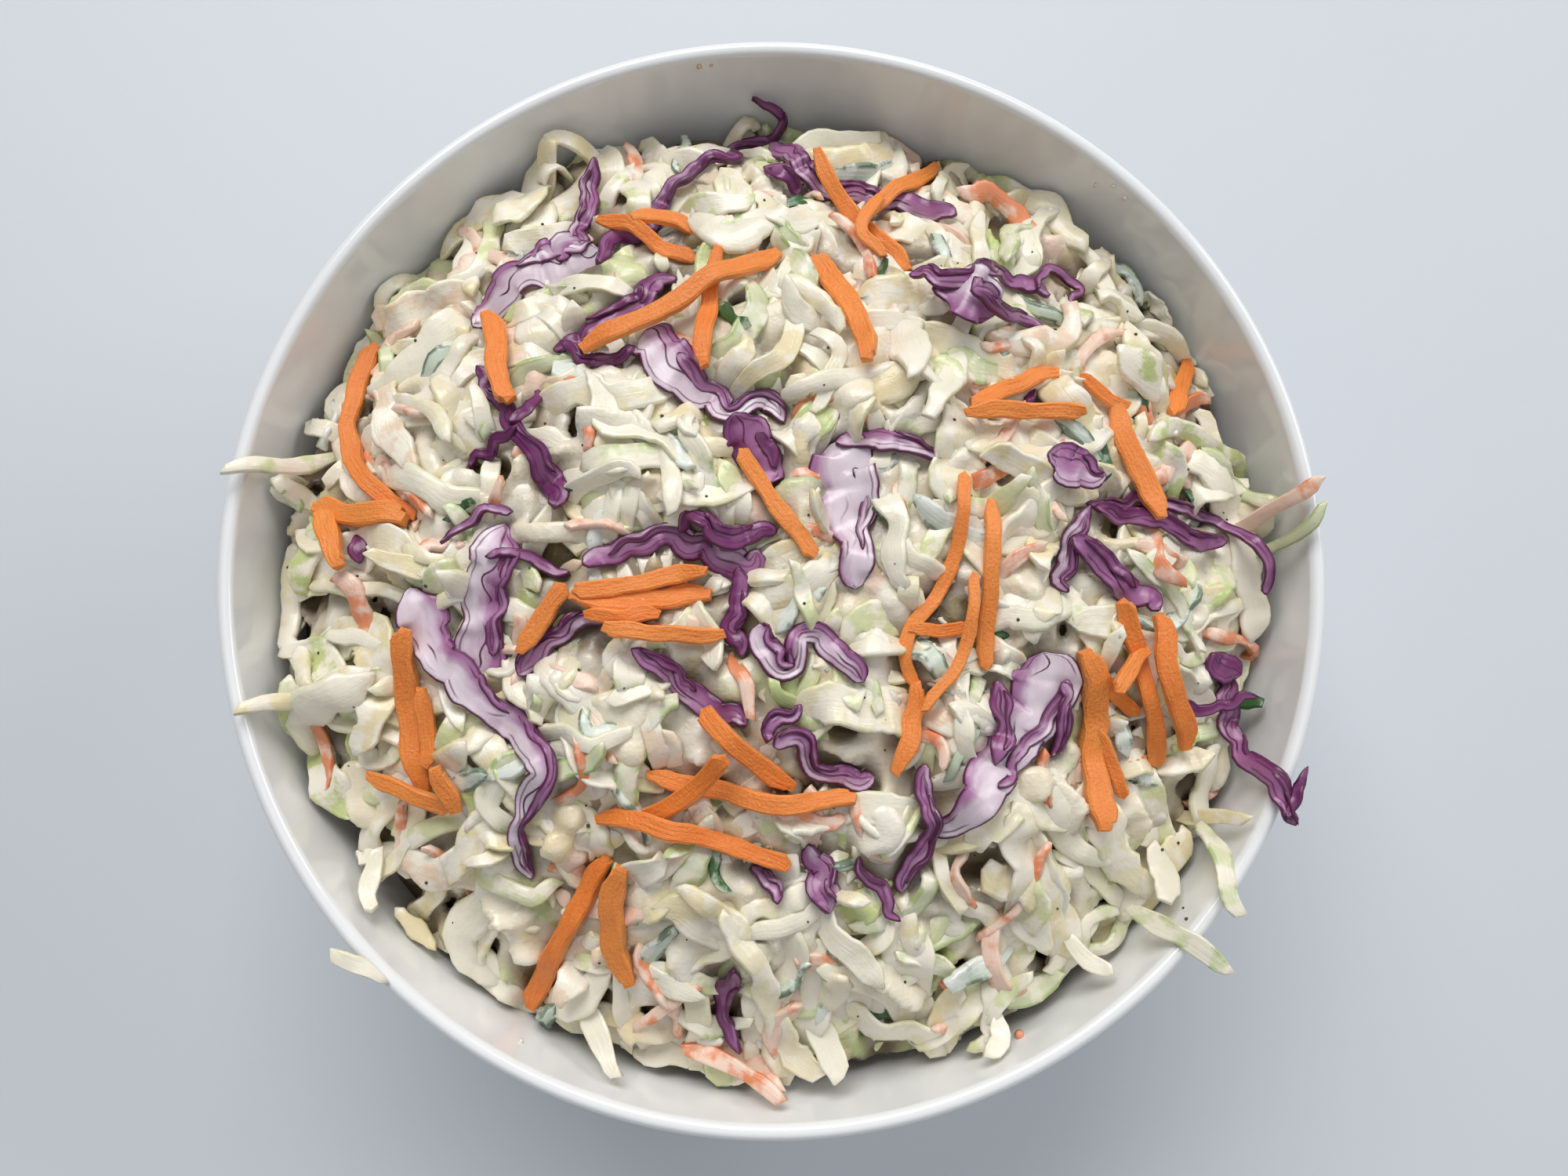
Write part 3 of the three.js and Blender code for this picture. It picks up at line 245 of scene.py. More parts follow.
# Red cabbage: how dark a piece is, from 0 for a pale cut leaf to 1 for skin, and its slices: kind, width
# at both ends and the plan points of the centreline.
RED_CABBAGE = {
    "leaf_back_left": (0.12,
        ("leaf", 3.5, 6, (-44, 35), (-38.5, 40), (-31.5, 43.5), (-25.5, 46)),
        ("strand", 2.4, 1.4, (-31, 44), (-28, 53), (-27.5, 58), (-27, 62))),
    "strand_back_hook": (0.85,
        ("strand", 1.2, 1.6, (-3.5, 72.5), (1.5, 72), (0.5, 69.5), (-5.5, 67.5), (-6.5, 62), (-12.5, 59),
         (-17.5, 51), (-20.5, 48), (-24, 47), (-25.5, 42.5))),
    "strand_back_right": (0.45,
        ("strand", 2, 2.4, (-0.5, 67), (3, 62), (6.5, 57.5), (16, 55.5), (27, 52.5))),
    "curl_back": (0.8, ("strand", 2, 2.4, (-1.5, 60), (1.5, 58), (3.5, 55))),
    "fold_back": (0.75,
        ("strand", 1.6, 2.6, (-31, 29.5), (-27, 31.5), (-20, 35.5), (-14.5, 41)),
        ("strand", 1.2, 1.2, (-30, 30), (-25.5, 28), (-18, 27.5))),
    "fan_back": (0.12,
        ("leaf", 7, 1.8, (-18, 31), (-13.5, 26), (-9, 21.5), (-6.5, 19), (-3.5, 20.5), (-1, 21.5),
         (1.5, 18))),
    "fold_right_back": (0.3,
        ("leaf", 5, 6, (22.5, 38), (26, 36), (30, 33)),
        ("strand", 1.6, 1.6, (18.5, 39), (25, 37.5), (32, 40.5), (40, 40)),
        ("strand", 1.6, 1.4, (26, 35), (32.5, 33.5), (38, 34)),
        ("strand", 1, 1, (37.5, 39.5), (40.5, 44.5), (46, 42.5), (43.5, 38.5))),
    "fork_left": (0.95,
        ("strand", 1.8, 2.4, (-41.5, 27.5), (-38.5, 22), (-35.5, 17.5), (-31.5, 12.5), (-29.5, 6)),
        ("strand", 1.2, 1.4, (-33, 24), (-34, 20), (-35.5, 17.5)),
        ("strand", 1.2, 1.2, (-35, 17.5), (-39.5, 15), (-42.5, 13))),
    "fold_left": (0.3,
        ("leaf", 3.5, 7, (-37, 4.5), (-38.5, -2.5), (-39.5, -9), (-40.5, -16)),
        ("strand", 1.2, 1.2, (-38.5, 0.5), (-33, -0.5), (-27.5, -2.5))),
    "strand_left": (0.5, ("strand", 1, 1.4, (-45.5, 2), (-40.5, 5.5), (-35.5, 6.5))),
    "leaf_left": (0.15,
        ("leaf", 5, 2, (-50, -4), (-46, -12), (-40, -19), (-34.5, -23), (-30, -28.5), (-33, -33),
         (-34.5, -38.5), (-33.5, -43.5))),
    "fold_centre": (0.45,
        ("strand", 2.2, 2.8, (-25.5, -1.5), (-20, 0.5), (-14, 2.5), (-9, 0.5), (-4, -1.5), (-2, 0)),
        ("strand", 2, 2.4, (-12.5, 2.5), (-11, 5), (-7, 2), (0, 3.5)),
        ("strand", 2, 1.6, (-5, -2), (-5.5, -9.5), (-4.5, -14))),
    "crumple_centre": (0.75, ("leaf", 4.5, 5.5, (-5.5, 18.5), (-3, 14), (-0.5, 9.5))),
    "leaf_centre": (0.1,
        ("leaf", 8, 3.4, (8, 15), (9.5, 8), (10.5, 0.5), (10.5, -5)),
        ("strand", 2.4, 1.6, (8, 15), (14.5, 15), (22, 12.5))),
    "wave_centre": (0.3,
        ("strand", 2.6, 2.6, (-1.5, -9.5), (-0.5, -14.5), (2.5, -15.5), (3, -11.5), (6, -11), (9, -14.5),
         (11.5, -17))),
    "strand_centre_left": (0.45, ("strand", 2, 1.6, (-34.5, -16), (-29.5, -11), (-24, -8.5), (-17, -9.5))),
    "strand_centre": (0.45, ("strand", 1.8, 2.2, (-18.5, -12.5), (-14, -16), (-8.5, -20), (-4, -23))),
    "curl_front": (0.35,
        ("strand", 1.6, 2.4, (-0.5, -25), (2.5, -24.5), (4.5, -26.5), (5, -28.5), (8.5, -29.5), (13, -30)),
        ("strand", 1.5, 1.8, (-1, -25), (0, -22.5), (3.5, -20.5))),
    "knot_right": (0.35,
        ("strand", 1.6, 2.6, (43, 7), (40.5, 3.5), (39.5, 0.5), (39, -5)),
        ("strand", 1.2, 1.4, (42.5, 7), (53, 9), (63.5, 7), (69, 2.5), (71, -4)),
        ("strand", 1.8, 2.2, (43.5, 7), (53, 6), (59, 4), (65, 3)),
        ("strand", 2.2, 3, (40, 2.5), (46.5, -2.5), (53, -7))),
    "leaf_right": (0.25, ("leaf", 4, 4, (36.5, 13.5), (40, 12), (44.5, 10))),
    "leaf_front_right": (0.2,
        ("leaf", 8, 2.2, (36.5, -13), (36, -19), (33, -23.5), (28.5, -29), (24, -35.5), (20, -37)),
        ("strand", 1.8, 1.6, (38.5, -17), (38.5, -23.5), (37.5, -27)),
        ("strand", 2, 2.2, (29, -17), (30.5, -23), (29.5, -28)),
        ("strand", 1.8, 2, (19, -28), (20.5, -34.5), (19.5, -39.5), (16.5, -45))),
    "sliver_front": (0.35, ("strand", 2.4, 3.4, (4, -38.5), (6, -42.5), (6.5, -47.5))),
    "splinter_front": (0.6, ("strand", 1.4, 1.2, (10.5, -40.5), (14.5, -45.5), (16, -49))),
    "hook_front": (0.6, ("strand", 1.5, 1.5, (-3.5, -41.5), (-0.5, -43.5), (0.5, -46))),
    "comma_front": (0.7, ("strand", 2, 1.4, (-5, -55.5), (-7, -60), (-6.5, -64), (-4.5, -67.5))),
    "knot_front_right": (0.65,
        ("strand", 2.4, 2, (66.5, -15), (65.5, -23.5), (68, -31), (70, -36.5)),
        ("strand", 3, 3.4, (62, -13.5), (67.5, -15.5)),
        ("strand", 0.9, 1.1, (72.5, -28.5), (69, -35.5)),
        ("strand", 1.1, 1.1, (56, -19.5), (61.5, -20.5), (68.5, -18.5))),
    "chip_left": (0.95, ("strand", 2.4, 2, (-59.5, 4), (-58.5, 0))),
    "chip_back_right": (0.95, ("strand", 1.6, 1.2, (35.5, 24.5), (36, 21))),
}

# Raw carrot: the shreds of each piece, by width and the plan points of the centreline.
CARROT = {
    "back_left": [
        (2, (-26, 50.5), (-21, 49), (-15, 45), (-11, 44)),
        (1.9, (-21, 50), (-14, 50), (-12, 47.5)),
    ],
    "back_upright": [(2, (-8.5, 44), (-9, 38), (-10, 24.5))],
    "back_long": [(2.3, (-27, 29), (-20, 31.5), (-13.5, 34.5), (-9, 38), (1, 43))],
    "back_middle": [(2.6, (5.5, 44), (7.5, 40.5), (10.5, 34.5), (13, 25.5))],
    "back_right": [(2.1, (5.5, 61.5), (8, 56.5), (10.5, 53), (14.5, 48.5), (19.5, 42.5))],
    "back_right_pair": [(1.9, (26, 64), (19.5, 58), (14, 52.5)), (1.6, (16, 54.5), (12.5, 48), (16, 43.5))],
    "left_upright": [(2.5, (-40.5, 36), (-38.5, 28), (-36.5, 20.5))],
    "left_bundle": [
        (2.2, (-60.5, 34.5), (-62, 25), (-62, 18.5), (-58, 12), (-50.5, 6)),
        (2.8, (-66.5, 9.5), (-59.5, 7), (-51, 6.5)),
        (2.6, (-64.5, 8), (-62.5, 3.5), (-59.5, -0.5)),
    ],
    "left_thick": [
        (2.5, (-50.5, -9.5), (-50.5, -18), (-49.5, -26.5), (-48.5, -33)),
        (2.1, (-48.5, -17.5), (-47.5, -22), (-47, -28.5)),
    ],
    "left_low": [(1.9, (-56.5, -29), (-51.5, -31), (-44, -34)), (2.8, (-44.5, -28), (-43.5, -34.5))],
    "centre_left": [(2.2, (-28, -4), (-30.5, -8), (-34.5, -13))],
    "centre_bundle": [
        (2.4, (-27, -6.5), (-18, -6.5), (-8.5, -5)),
        (2.1, (-26.5, -5.5), (-17.5, -4), (-9, -2)),
        (1.8, (-25, -8), (-20, -8.5), (-15, -8)),
    ],
    "centre_flat": [(1.9, (-22.5, -10.5), (-14.5, -11), (-6.5, -11.5))],
    "centre_slant": [(1.9, (-5, 13.5), (0, 6.5), (5, -1))],
    "front_slant": [(2.3, (-10, -21), (-4.5, -26), (2, -31.5))],
    "front_flat": [(2.2, (-17, -28.5), (-12, -30.5), (-6.5, -31.5), (1, -33), (10.5, -31.5))],
    "front_cross": [(2.2, (-17.5, -35), (-11, -31.5), (-6.5, -26.5))],
    "front_long": [(2.1, (-24, -34.5), (-19, -35), (-11, -37), (2, -41))],
    "front_left_long": [(2.5, (-23, -40), (-28, -50), (-35.5, -62.5))],
    "front_left": [(2.7, (-21, -41), (-22, -48.5), (-20.5, -58))],
    "right_loop": [
        (1.6, (25.5, 11), (24.5, 2), (21.5, -5.5), (17.5, -10.5), (17, -14.5), (19, -18)),
        (1.6, (17.5, -10.5), (26, -9.5)),
        (2.1, (19, -17), (18, -23), (16, -29.5)),
    ],
    "right_straight": [(1.8, (28.5, 7.5), (29, 0), (28.5, -9), (28, -15.5))],
    "right_thin": [(1.4, (26, -2.5), (25.5, -10.5), (23.5, -15.5), (19, -21))],
    "right_upper": [(2.1, (39.5, 27), (33, 24), (26.5, 20.5))],
    "right_flat": [(2.1, (25, 19), (32.5, 19.5), (42.5, 19.5))],
    "right_pair": [(2.5, (47.5, 23), (50, 15.5), (54.5, 6)), (1.5, (43, 26.5), (47, 23), (50.5, 22.5))],
    "right_edge": [(2, (64, 33), (61, 27.5), (58, 22))],
    "right_thick": [
        (2.9, (42.5, -12.5), (44, -20), (43.5, -28.5), (45, -37)),
        (1.8, (44, -16), (50.5, -21.5)),
        (1.5, (44.5, -23), (48, -33)),
    ],
    "right_fork": [(2.1, (47.5, -5.5), (50, -13), (52, -20), (54, -28.5)), (1.8, (51, -12), (45.5, -18.5))],
    "right_long": [(2.5, (53, -7.5), (53.5, -16), (58, -26))],
}

# Shreds that climb the wall or hang over the rim: kind, width and the points of the centreline.
RIM_PIECES = [
    ("green_cabbage", 3.4, (60.5, -36.5, 59.5), (61, -40.5, 65), (61, -45.5, 67.5), (63, -48, 67.8)),
    ("green_cabbage", 2.6, (49, -48.5, 60), (53.5, -50.5, 65.3), (57, -52.5, 67.6), (61, -55.5, 67.9)),
    ("cabbage", 2.8, (-59, -52, 66.9), (-56.5, -53.5, 67), (-53.5, -55, 66.9), (-51.5, -56.5, 66)),
    ("dressed_carrot", 2.8, (-13, -66.5, 58.5), (-5.5, -69.5, 59.5), (1.5, -73, 62.5)),
    ("cabbage", 3.2, (31, -62, 60), (31, -66, 61.5), (29, -69.5, 63.5)),
    ("cabbage", 4.0, (54, -39, 58.8), (55, -43.5, 59.6), (55, -47.5, 62.5)),
    ("cabbage", 2.8, (40, -52, 59), (43.5, -55.5, 61), (46.5, -57, 63)),
    ("cabbage", 3.2, (-27, -60.5, 58.5), (-23.8, -66, 60.3), (-21, -70.5, 62.5)),
    ("cabbage", 4.6, (5.5, -61.5, 59.8), (7, -67, 60.2), (8, -71.5, 61.3)),
    ("green_cabbage", 4.4, (-68.5, -15.5, 60.5), (-68, -19, 60.8), (-66.5, -24, 59.3)),
    ("cabbage", 3.0, (-55, -39.5, 59.3), (-56.5, -45.5, 61), (-56.5, -49, 63)),
]

# Crumbs on the wall: kind, azimuth in degrees, height and radius.
WALL_CRUMBS = [
    ("beige", 98.6, 64.2, 0.45), ("beige", 97.2, 64.0, 0.3), ("white", 50.1, 61.6, 0.4),
    ("white", 48.3, 64.0, 0.35), ("white", 46.5, 63.6, 0.45), ("white", -118.0, 60.0, 0.35),
    ("coral", -62.6, 58.4, 0.8), ("pepper", -41.1, 63.4, 0.28), ("pepper", -40.2, 60.8, 0.2),
]


# Colours ----------------------------------------------------------------------------------------

def srgb(red, green, blue):
    """A colour given as display values from 0 to 255, as linear red, green, blue and alpha."""
    def linear(value):
        value = value / 255
        return value / 12.92 if value <= 0.04045 else ((value + 0.055) / 1.055) ** 2.4
    return (linear(red), linear(green), linear(blue), 1.0)


CREAM = srgb(240, 228, 201)
WARM_CREAM = srgb(238, 221, 182)
WHITE_CREAM = srgb(244, 237, 221)
PALE_GREEN = srgb(216, 220, 172)
TINTS = [
    (0.36, CREAM), (0.14, WARM_CREAM), (0.28, WHITE_CREAM), (0.06, srgb(241, 212, 192)), (0.12, PALE_GREEN),
    (0.04, srgb(194, 206, 138)),
]


# Lines ------------------------------------------------------------------------------------------

def distances(line):
    """Distance along a line to each of its points."""
    return np.r_[0, np.cumsum(np.linalg.norm(np.diff(line, axis=0), axis=1))]


def smooth_line(points, spacing):
    """Evenly spaced points of a smooth line through a few points."""
    corners = [np.array(point, float) for point in points]
    if len(corners) == 2:
        corners.insert(1, (corners[0] + corners[1]) / 2)
    corners = [2 * corners[0] - corners[1]] + corners + [2 * corners[-1] - corners[-2]]
    fine = []
    for a, b, c, d in zip(corners, corners[1:], corners[2:], corners[3:]):
        for share in np.linspace(0, 1, CURVE_STEPS, endpoint=False):
            fine.append(0.5 * (2 * b + (c - a) * share + (2 * a - 5 * b + 4 * c - d) * share ** 2
                               + (3 * b - a - 3 * c + d) * share ** 3))
    fine = np.array(fine + [corners[-2]])
    lengths = distances(fine)
    count = max(LEAST_STATIONS, int(round(lengths[-1] / spacing)) + 1)
    at = np.linspace(0, lengths[-1], count)
    return np.column_stack([np.interp(at, lengths, column) for column in fine.T])


def wobble(rng, count, step):
    """A smooth random curve of about unit size, with a new value every few steps."""
    knots = max(2, int(math.ceil(count / step)) + 2)
    values = rng.normal(0, 1, knots)
    at = np.linspace(0, knots - END_GAP, count)
    low = at.astype(int)
    share = at - low
    share = share * share * (3 - 2 * share)
    return values[low] * (1 - share) + values[low + 1] * share


def blurred(values, rounds):
    for _ in range(rounds):
        padded = np.r_[values[0], values, values[-1]]
        values = (padded[:-2] + 2 * padded[1:-1] + padded[2:]) / 4
    return values


def filled(values):
    """Values with the unknown ones taken from between their neighbours."""
    known = np.isfinite(values)
    spots = np.arange(len(values))
    return np.interp(spots, spots[known], values[known])


def tapered(count, ends, length):
    """A factor along a strip that falls smoothly to a share over a number of stations at both ends."""
    share = np.clip(np.minimum(np.arange(count), np.arange(count)[::-1]) / length, 0, 1)
    return ends + (1 - ends) * np.sqrt(1 - (1 - share) ** 2)


def side_vectors(line):
    """Horizontal unit vectors across a line."""
    along = np.gradient(line[:, :2], axis=0)
    along /= np.maximum(np.linalg.norm(along, axis=1), 1e-6)[:, None]
    return np.column_stack([-along[:, 1], along[:, 0], np.zeros(len(line))])


def rolled(line, sides, roll):
    """Side and up vectors of a strip, turned about its length by an angle at each station."""
    along = np.gradient(line, axis=0)
    along /= np.linalg.norm(along, axis=1)[:, None]
    across = sides - along * np.sum(sides * along, axis=1)[:, None]
    across /= np.linalg.norm(across, axis=1)[:, None]
    upward = np.cross(along, across)
    cos, sin = np.cos(roll)[:, None], np.sin(roll)[:, None]
    return across * cos + upward * sin, upward * cos - across * sin


def slant_cut(rng, line, sides, widths, spacing, short=(0.15, 0.5), long=(0.8, 2.0), power=0.75):
    """A strip's line and widths with its ends cut at a slant, one edge longer than the other."""
    stations = spacing * np.arange(len(line))
    edges = []
    longer = rng.integers(0, 2, 2)
    for edge in (0, 1):
        start, end = [widths.max() * rng.uniform(*(short if longer[at] == edge else long)) for at in (0, 1)]
        share = np.clip(np.minimum(stations / start, stations[::-1] / end), 0, 1)
        edges.append((CUT_END + (1 - CUT_END) * share ** power) * widths / 2)
    return line + sides * ((edges[0] - edges[1]) / 2)[:, None], edges[0] + edges[1]


# Cross-sections, as pairs from -1 to 1 ----------------------------------------------------------

def round_section(corners, squareness):
    """A cross-section between a circle and a square."""
    angles = 2 * math.pi * (np.arange(corners) + 0.5) / corners
    x, y = np.cos(angles), np.sin(angles)
    reach = (np.abs(x) ** squareness + np.abs(y) ** squareness) ** (1 / squareness)
    return np.column_stack([x / reach, y / reach])


ROUND_SECTION = round_section(10, 2.6)
FLAT_SECTION = np.array([
    (1, -0.3), (1, 0.3), (0.923, 0.82), (0.78, 1), (0, 1), (-0.78, 1), (-0.923, 0.82), (-1, 0.3), (-1, -0.3),
    (-0.78, -1), (0.78, -1),
])
CARROT_SECTION = np.array([
    (1, -0.72), (1, 0.72), (0.8, 1), (-0.8, 1), (-1, 0.72), (-1, -0.72), (-0.8, -1), (0.8, -1),
])
SLICE_ACROSS = np.array([-1, -0.92, -0.66, -0.33, 0, 0.33, 0.66, 0.92, 1])


# Meshes -----------------------------------------------------------------------------------------

def mesh_piece(name, vertices, faces, material=None, crisp=None, **attributes):
    """A piece from points in millimetres. Edges that turn by more than the crisp angle stay sharp."""
    mesh = bpy.data.meshes.new(name)
    mesh.from_pydata((np.asarray(vertices) * MM).tolist(), [], faces)
    for key, values in attributes.items():
        kind, field = ("FLOAT", "value") if values.ndim == 1 else ("FLOAT_COLOR", "color")
        data = mesh.attributes.new(key, kind, "POINT").data
        data.foreach_set(field, values.astype(np.float32).ravel())
    mesh.polygons.foreach_set("use_smooth", [True] * len(mesh.polygons))
    if crisp is not None:
        mesh.set_sharp_from_angle(angle=math.radians(crisp))
    if material is not None:
        mesh.materials.append(material)
    piece = bpy.data.objects.new(name, mesh)
    bpy.context.scene.collection.objects.link(piece)
    return piece


class Batch:
    """Gathers the vertices, faces and vertex attributes of many strips into one mesh."""

    def __init__(self):
        self.vertices = []
        self.faces = []
        self.attributes = {}
        self.count = 0

    def add(self, vertices, faces, **attributes):
        self.vertices.append(vertices)
        self.faces.extend([tuple(corner + self.count for corner in face) for face in faces])
        for name, values in attributes.items():
            values = np.asarray(values, float)
            if values.shape != (len(vertices),):
                values = np.broadcast_to(values, (len(vertices),) + values.shape)
            self.attributes.setdefault(name, []).append(values)
        self.count += len(vertices)

    def build(self, name, material=None, crisp=None):
        attributes = {key: np.concatenate(parts) for key, parts in self.attributes.items()}
        return mesh_piece(name, np.concatenate(self.vertices), self.faces, material, crisp, **attributes)


def ring_faces(rings, corners):
    """Faces between rings of corners."""
    faces = []
    for ring in range(rings - 1):
        here, ahead = ring * corners, (ring + 1) * corners
        for corner in range(corners):
            after = (corner + 1) % corners
            faces.append((here + corner, here + after, ahead + after, ahead + corner))
    return faces


def add_tube(batch, line, widths, rings, across, **attributes):
    """A closed strip through rings of points, with its measures along and across as attributes."""
    count, corners = len(line), len(across)
    ends = [tuple(reversed(range(corners))), tuple(range((count - 1) * corners, count * corners))]
    batch.add(rings.reshape(-1, 3), ring_faces(count, corners) + ends, across=np.tile(across, count),
              along=np.repeat(distances(line), corners), half_width=np.repeat(widths / 2, corners),
              **attributes)


def add_strip(batch, strip, section, cup=0.0, **attributes):
    """A strip whose cross-section, cupped or not, is carried along its line."""
    line, sides, ups, widths, depths = strip
    across = section[None, :, 0]
    reach = sides[:, None, :] * (across * widths[:, None] / 2)[:, :, None]
    cupped = cup * widths[:, None] * (across ** 2 - 0.4)
    lift = ups[:, None, :] * (section[None, :, 1] * depths[:, None] / 2 + cupped)[:, :, None]
    add_tube(batch, line, widths, line[:, None, :] + reach + lift, section[:, 0], **attributes)


def domed(rings, first, last):
    """Vertices and faces of a closed skin: rings of points between two end points."""
    count, sides = len(rings), len(rings[0])
    vertices = np.concatenate([[first], *rings, [last]])
    faces = [tuple(corner + 1 for corner in face) for face in ring_faces(count, sides)]
    end = 1 + (count - 1) * sides
    for side in range(sides):
        after = (side + 1) % sides
        faces += [(0, 1 + after, 1 + side), (end + side, end + after, end + sides)]
    return vertices, faces


def ring_points(radius, height, sides):
    """Points round the Z axis. The height is a number, or a function of x and y."""
    angles = 2 * math.pi * np.arange(sides) / sides
    x, y = radius * np.cos(angles), radius * np.sin(angles)
    return np.column_stack([x, y, height(x, y) if callable(height) else np.full(sides, float(height))])


# Heights ----------------------------------------------------------------------------------------

def heap_height(x, y):
    """Height of the surface that the shreds reach."""
    reach = np.hypot(x, y)
    towards_back = np.maximum(0, y / np.maximum(reach, 1))
    edge = BOWL_HEIGHT - EDGE_DEPTH - BACK_EDGE_DEPTH * towards_back ** 2
    return edge + (HEAP_TOP - edge) * (1 - np.minimum(reach / HEAP_RADIUS, 1) ** HEAP_ROUNDNESS)


def core_height(x, y):
    return heap_height(x, y) - CORE_COVER - CORE_EDGE_DROP * (np.hypot(x, y) / HEAP_RADIUS) ** 8


def wall_bend(top_radius, taper, share):
    """Radius of one face of the bowl's wall at a share of its way down."""
    return top_radius * (1 - taper * share) * (1 - share ** BOWL_ROUNDNESS) ** (1 / BOWL_ROUNDNESS)


def wall_radius(height):
    """Radius of the bowl's inside at a height."""
    share = np.clip((LIP_HEIGHT - height) / (LIP_HEIGHT - FLOOR_HEIGHT), 0, 1)
    return wall_bend(BOWL_RADIUS - LIP_THICKNESS, WALL_TAPER, share)


def face_tree(piece):
    """A piece's faces in millimetres, for casting rays."""
    places = [vertex.co / MM for vertex in piece.data.vertices]
    return BVHTree.FromPolygons(places, [tuple(face.vertices) for face in piece.data.polygons])


def ray_height(tree, x, y, down=True):
    """Height at which a ray down or up meets the faces, or not a number."""
    start, step = (RAY_TOP, -1) if down else (0, 1)
    place = tree.ray_cast(Vector((x, y, start)), Vector((0, 0, step)))[0]
    return math.nan if place is None else place.z


def read_map(values, x, y):
    """A map's value at points, blended between its samples."""
    at_x, at_y = [np.clip((at + MAP_HALF) / MAP_STEP, 0, MAP_COUNT - END_GAP) for at in (x, y)]
    i, j = at_x.astype(int), at_y.astype(int)
    u, v = at_x - i, at_y - j
    return ((values[i, j] * (1 - v) + values[i, j + 1] * v) * (1 - u)
            + (values[i + 1, j] * (1 - v) + values[i + 1, j + 1] * v) * u)


def spread_map(values, reach, pick):
    """Each sample takes the highest or lowest value within a reach."""
    for axis in (0, 1):
        values = pick([np.roll(values, step, axis) for step in range(-reach, reach + 1)], axis=0)
    return values


def blur_map(values, rounds):
    for _ in range(rounds):
        for axis in (0, 1):
            values = (np.roll(values, 1, axis) + 2 * values + np.roll(values, -1, axis)) / 4
    return values


map_axis = -MAP_HALF + MAP_STEP * np.arange(MAP_COUNT)
map_x, map_y = np.meshgrid(map_axis, map_axis, indexing="ij")
slaw_tree = face_tree(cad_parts["slaw"])
garnish_trees = {
    name: face_tree(node) for name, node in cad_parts.items() if name not in ("bowl", "slaw")
}


def slaw_top_map():
    """Height of the CAD model's salad over each sample."""
    tops = np.full(map_x.shape, NOTHING)
    for at in zip(*np.nonzero(np.hypot(map_x, map_y) < HEAP_RADIUS)):
        tops[at] = np.fmax(NOTHING, ray_height(slaw_tree, map_x[at], map_y[at]))
    return tops


def garnish_floor_map():
    """Lowest height of the raw shreds over each sample: what lies below them stays under it."""
    floor = np.full(map_x.shape, OPEN_SKY)
    for name, tree in garnish_trees.items():
        low, high = [[int((corner[axis] / MM + MAP_HALF) / MAP_STEP) for axis in (0, 1)]
                     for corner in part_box(name)]
        for i in range(low[0], min(high[0] + 2, MAP_COUNT)):
            for j in range(low[1], min(high[1] + 2, MAP_COUNT)):
                floor[i, j] = np.fmin(floor[i, j], ray_height(tree, map_x[i, j], map_y[i, j], down=False))
    return floor


slaw_top = slaw_top_map()
garnish_floor = spread_map(garnish_floor_map(), 1, np.min)
cover_top = np.where(slaw_top > NOTHING, slaw_top, heap_height(map_x, map_y) - CORE_COVER)
cover_top = blur_map(spread_map(cover_top, 2, np.max), 8)
cover_top = np.maximum(cover_top, heap_height(map_x, map_y) - LEAST_COVER)


# Dressed shreds ---------------------------------------------------------------------------------

def inside_bowl(line, reach, highest=math.inf):
    """A line pulled inwards, up to a height, so that it clears the bowl's wall."""
    radius = np.hypot(line[:, 0], line[:, 1])
    factor = np.minimum(1, (wall_radius(line[:, 2]) - reach) / np.maximum(radius, 1))
    line[:, :2] *= np.where(line[:, 2] > highest, 1, factor)[:, None]
    return line


def under_garnish(line, widths, depths):
    """A line lowered smoothly so that its strip stays under the raw shreds over its whole width."""
    sides = side_vectors(line) * widths[:, None] * GARNISH_SHARE
    floors = [read_map(garnish_floor, *(line + sides * edge)[:, :2].T) for edge in (-1, 0, 1)]
    limit = np.min(floors, axis=0) - depths / 2 - GARNISH_GAP
    excess = np.maximum(line[:, 2] - limit, 0)
    if excess.max() > 0:
        line[:, 2] -= blurred(np.maximum(excess, blurred(excess, 6)), 2)
        line[:, 2] -= max(0, np.max(line[:, 2] - limit)) * 0.6
    return line


def fine_shred(rng, x, y, level, lengths=(11, 27), width_range=(2.0, 5.6), depth=1.2, cut=False, pitch=2.6,
               tilt=0.38):
    """A loose shred: its line, its side and up vectors, its widths and its depths."""
    length = rng.uniform(*lengths)
    count = int(length / FINE_SPACING) + 4
    at = np.linspace(-0.5, 0.5, count)
    heading = rng.uniform(0, 2 * math.pi) + rng.normal(0, 0.7) * at * 2 + 0.35 * wobble(rng, count, 5)
    step = length / (count - 1)
    plan = np.column_stack([np.cumsum(np.cos(heading)), np.cumsum(np.sin(heading))]) * step
    plan += np.array([x, y]) - plan.mean(axis=0)
    floor = core_height(*plan.T)
    heights = blurred(floor + (read_map(cover_top, *plan.T) - floor) * level, 6)
    heights += at * rng.normal(0, pitch) + 0.45 * wobble(rng, count, 5)
    heights -= 3.2 * at ** 2 * rng.uniform(-0.6, 1.4)
    line = np.column_stack([plan, heights])
    width = width_range[0] + (width_range[1] - width_range[0]) * rng.random() ** 1.7
    widths = width * (1 + 0.13 * wobble(rng, count, 3) + 0.06 * wobble(rng, count, 1.5))
    depths = depth * rng.uniform(0.8, 1.25) * tapered(count, 0.55, 2)
    if cut:
        line, widths = slant_cut(rng, line, side_vectors(line), widths, step)
    else:
        widths = widths * tapered(count, 0.4, 2)
    line = under_garnish(inside_bowl(line, widths.max() / 2 + WALL_GAP), widths, depths)
    roll = rng.normal(0, tilt) + 0.8 * tilt * wobble(rng, count, 5)
    return (line, *rolled(line, side_vectors(line), roll), widths, depths)


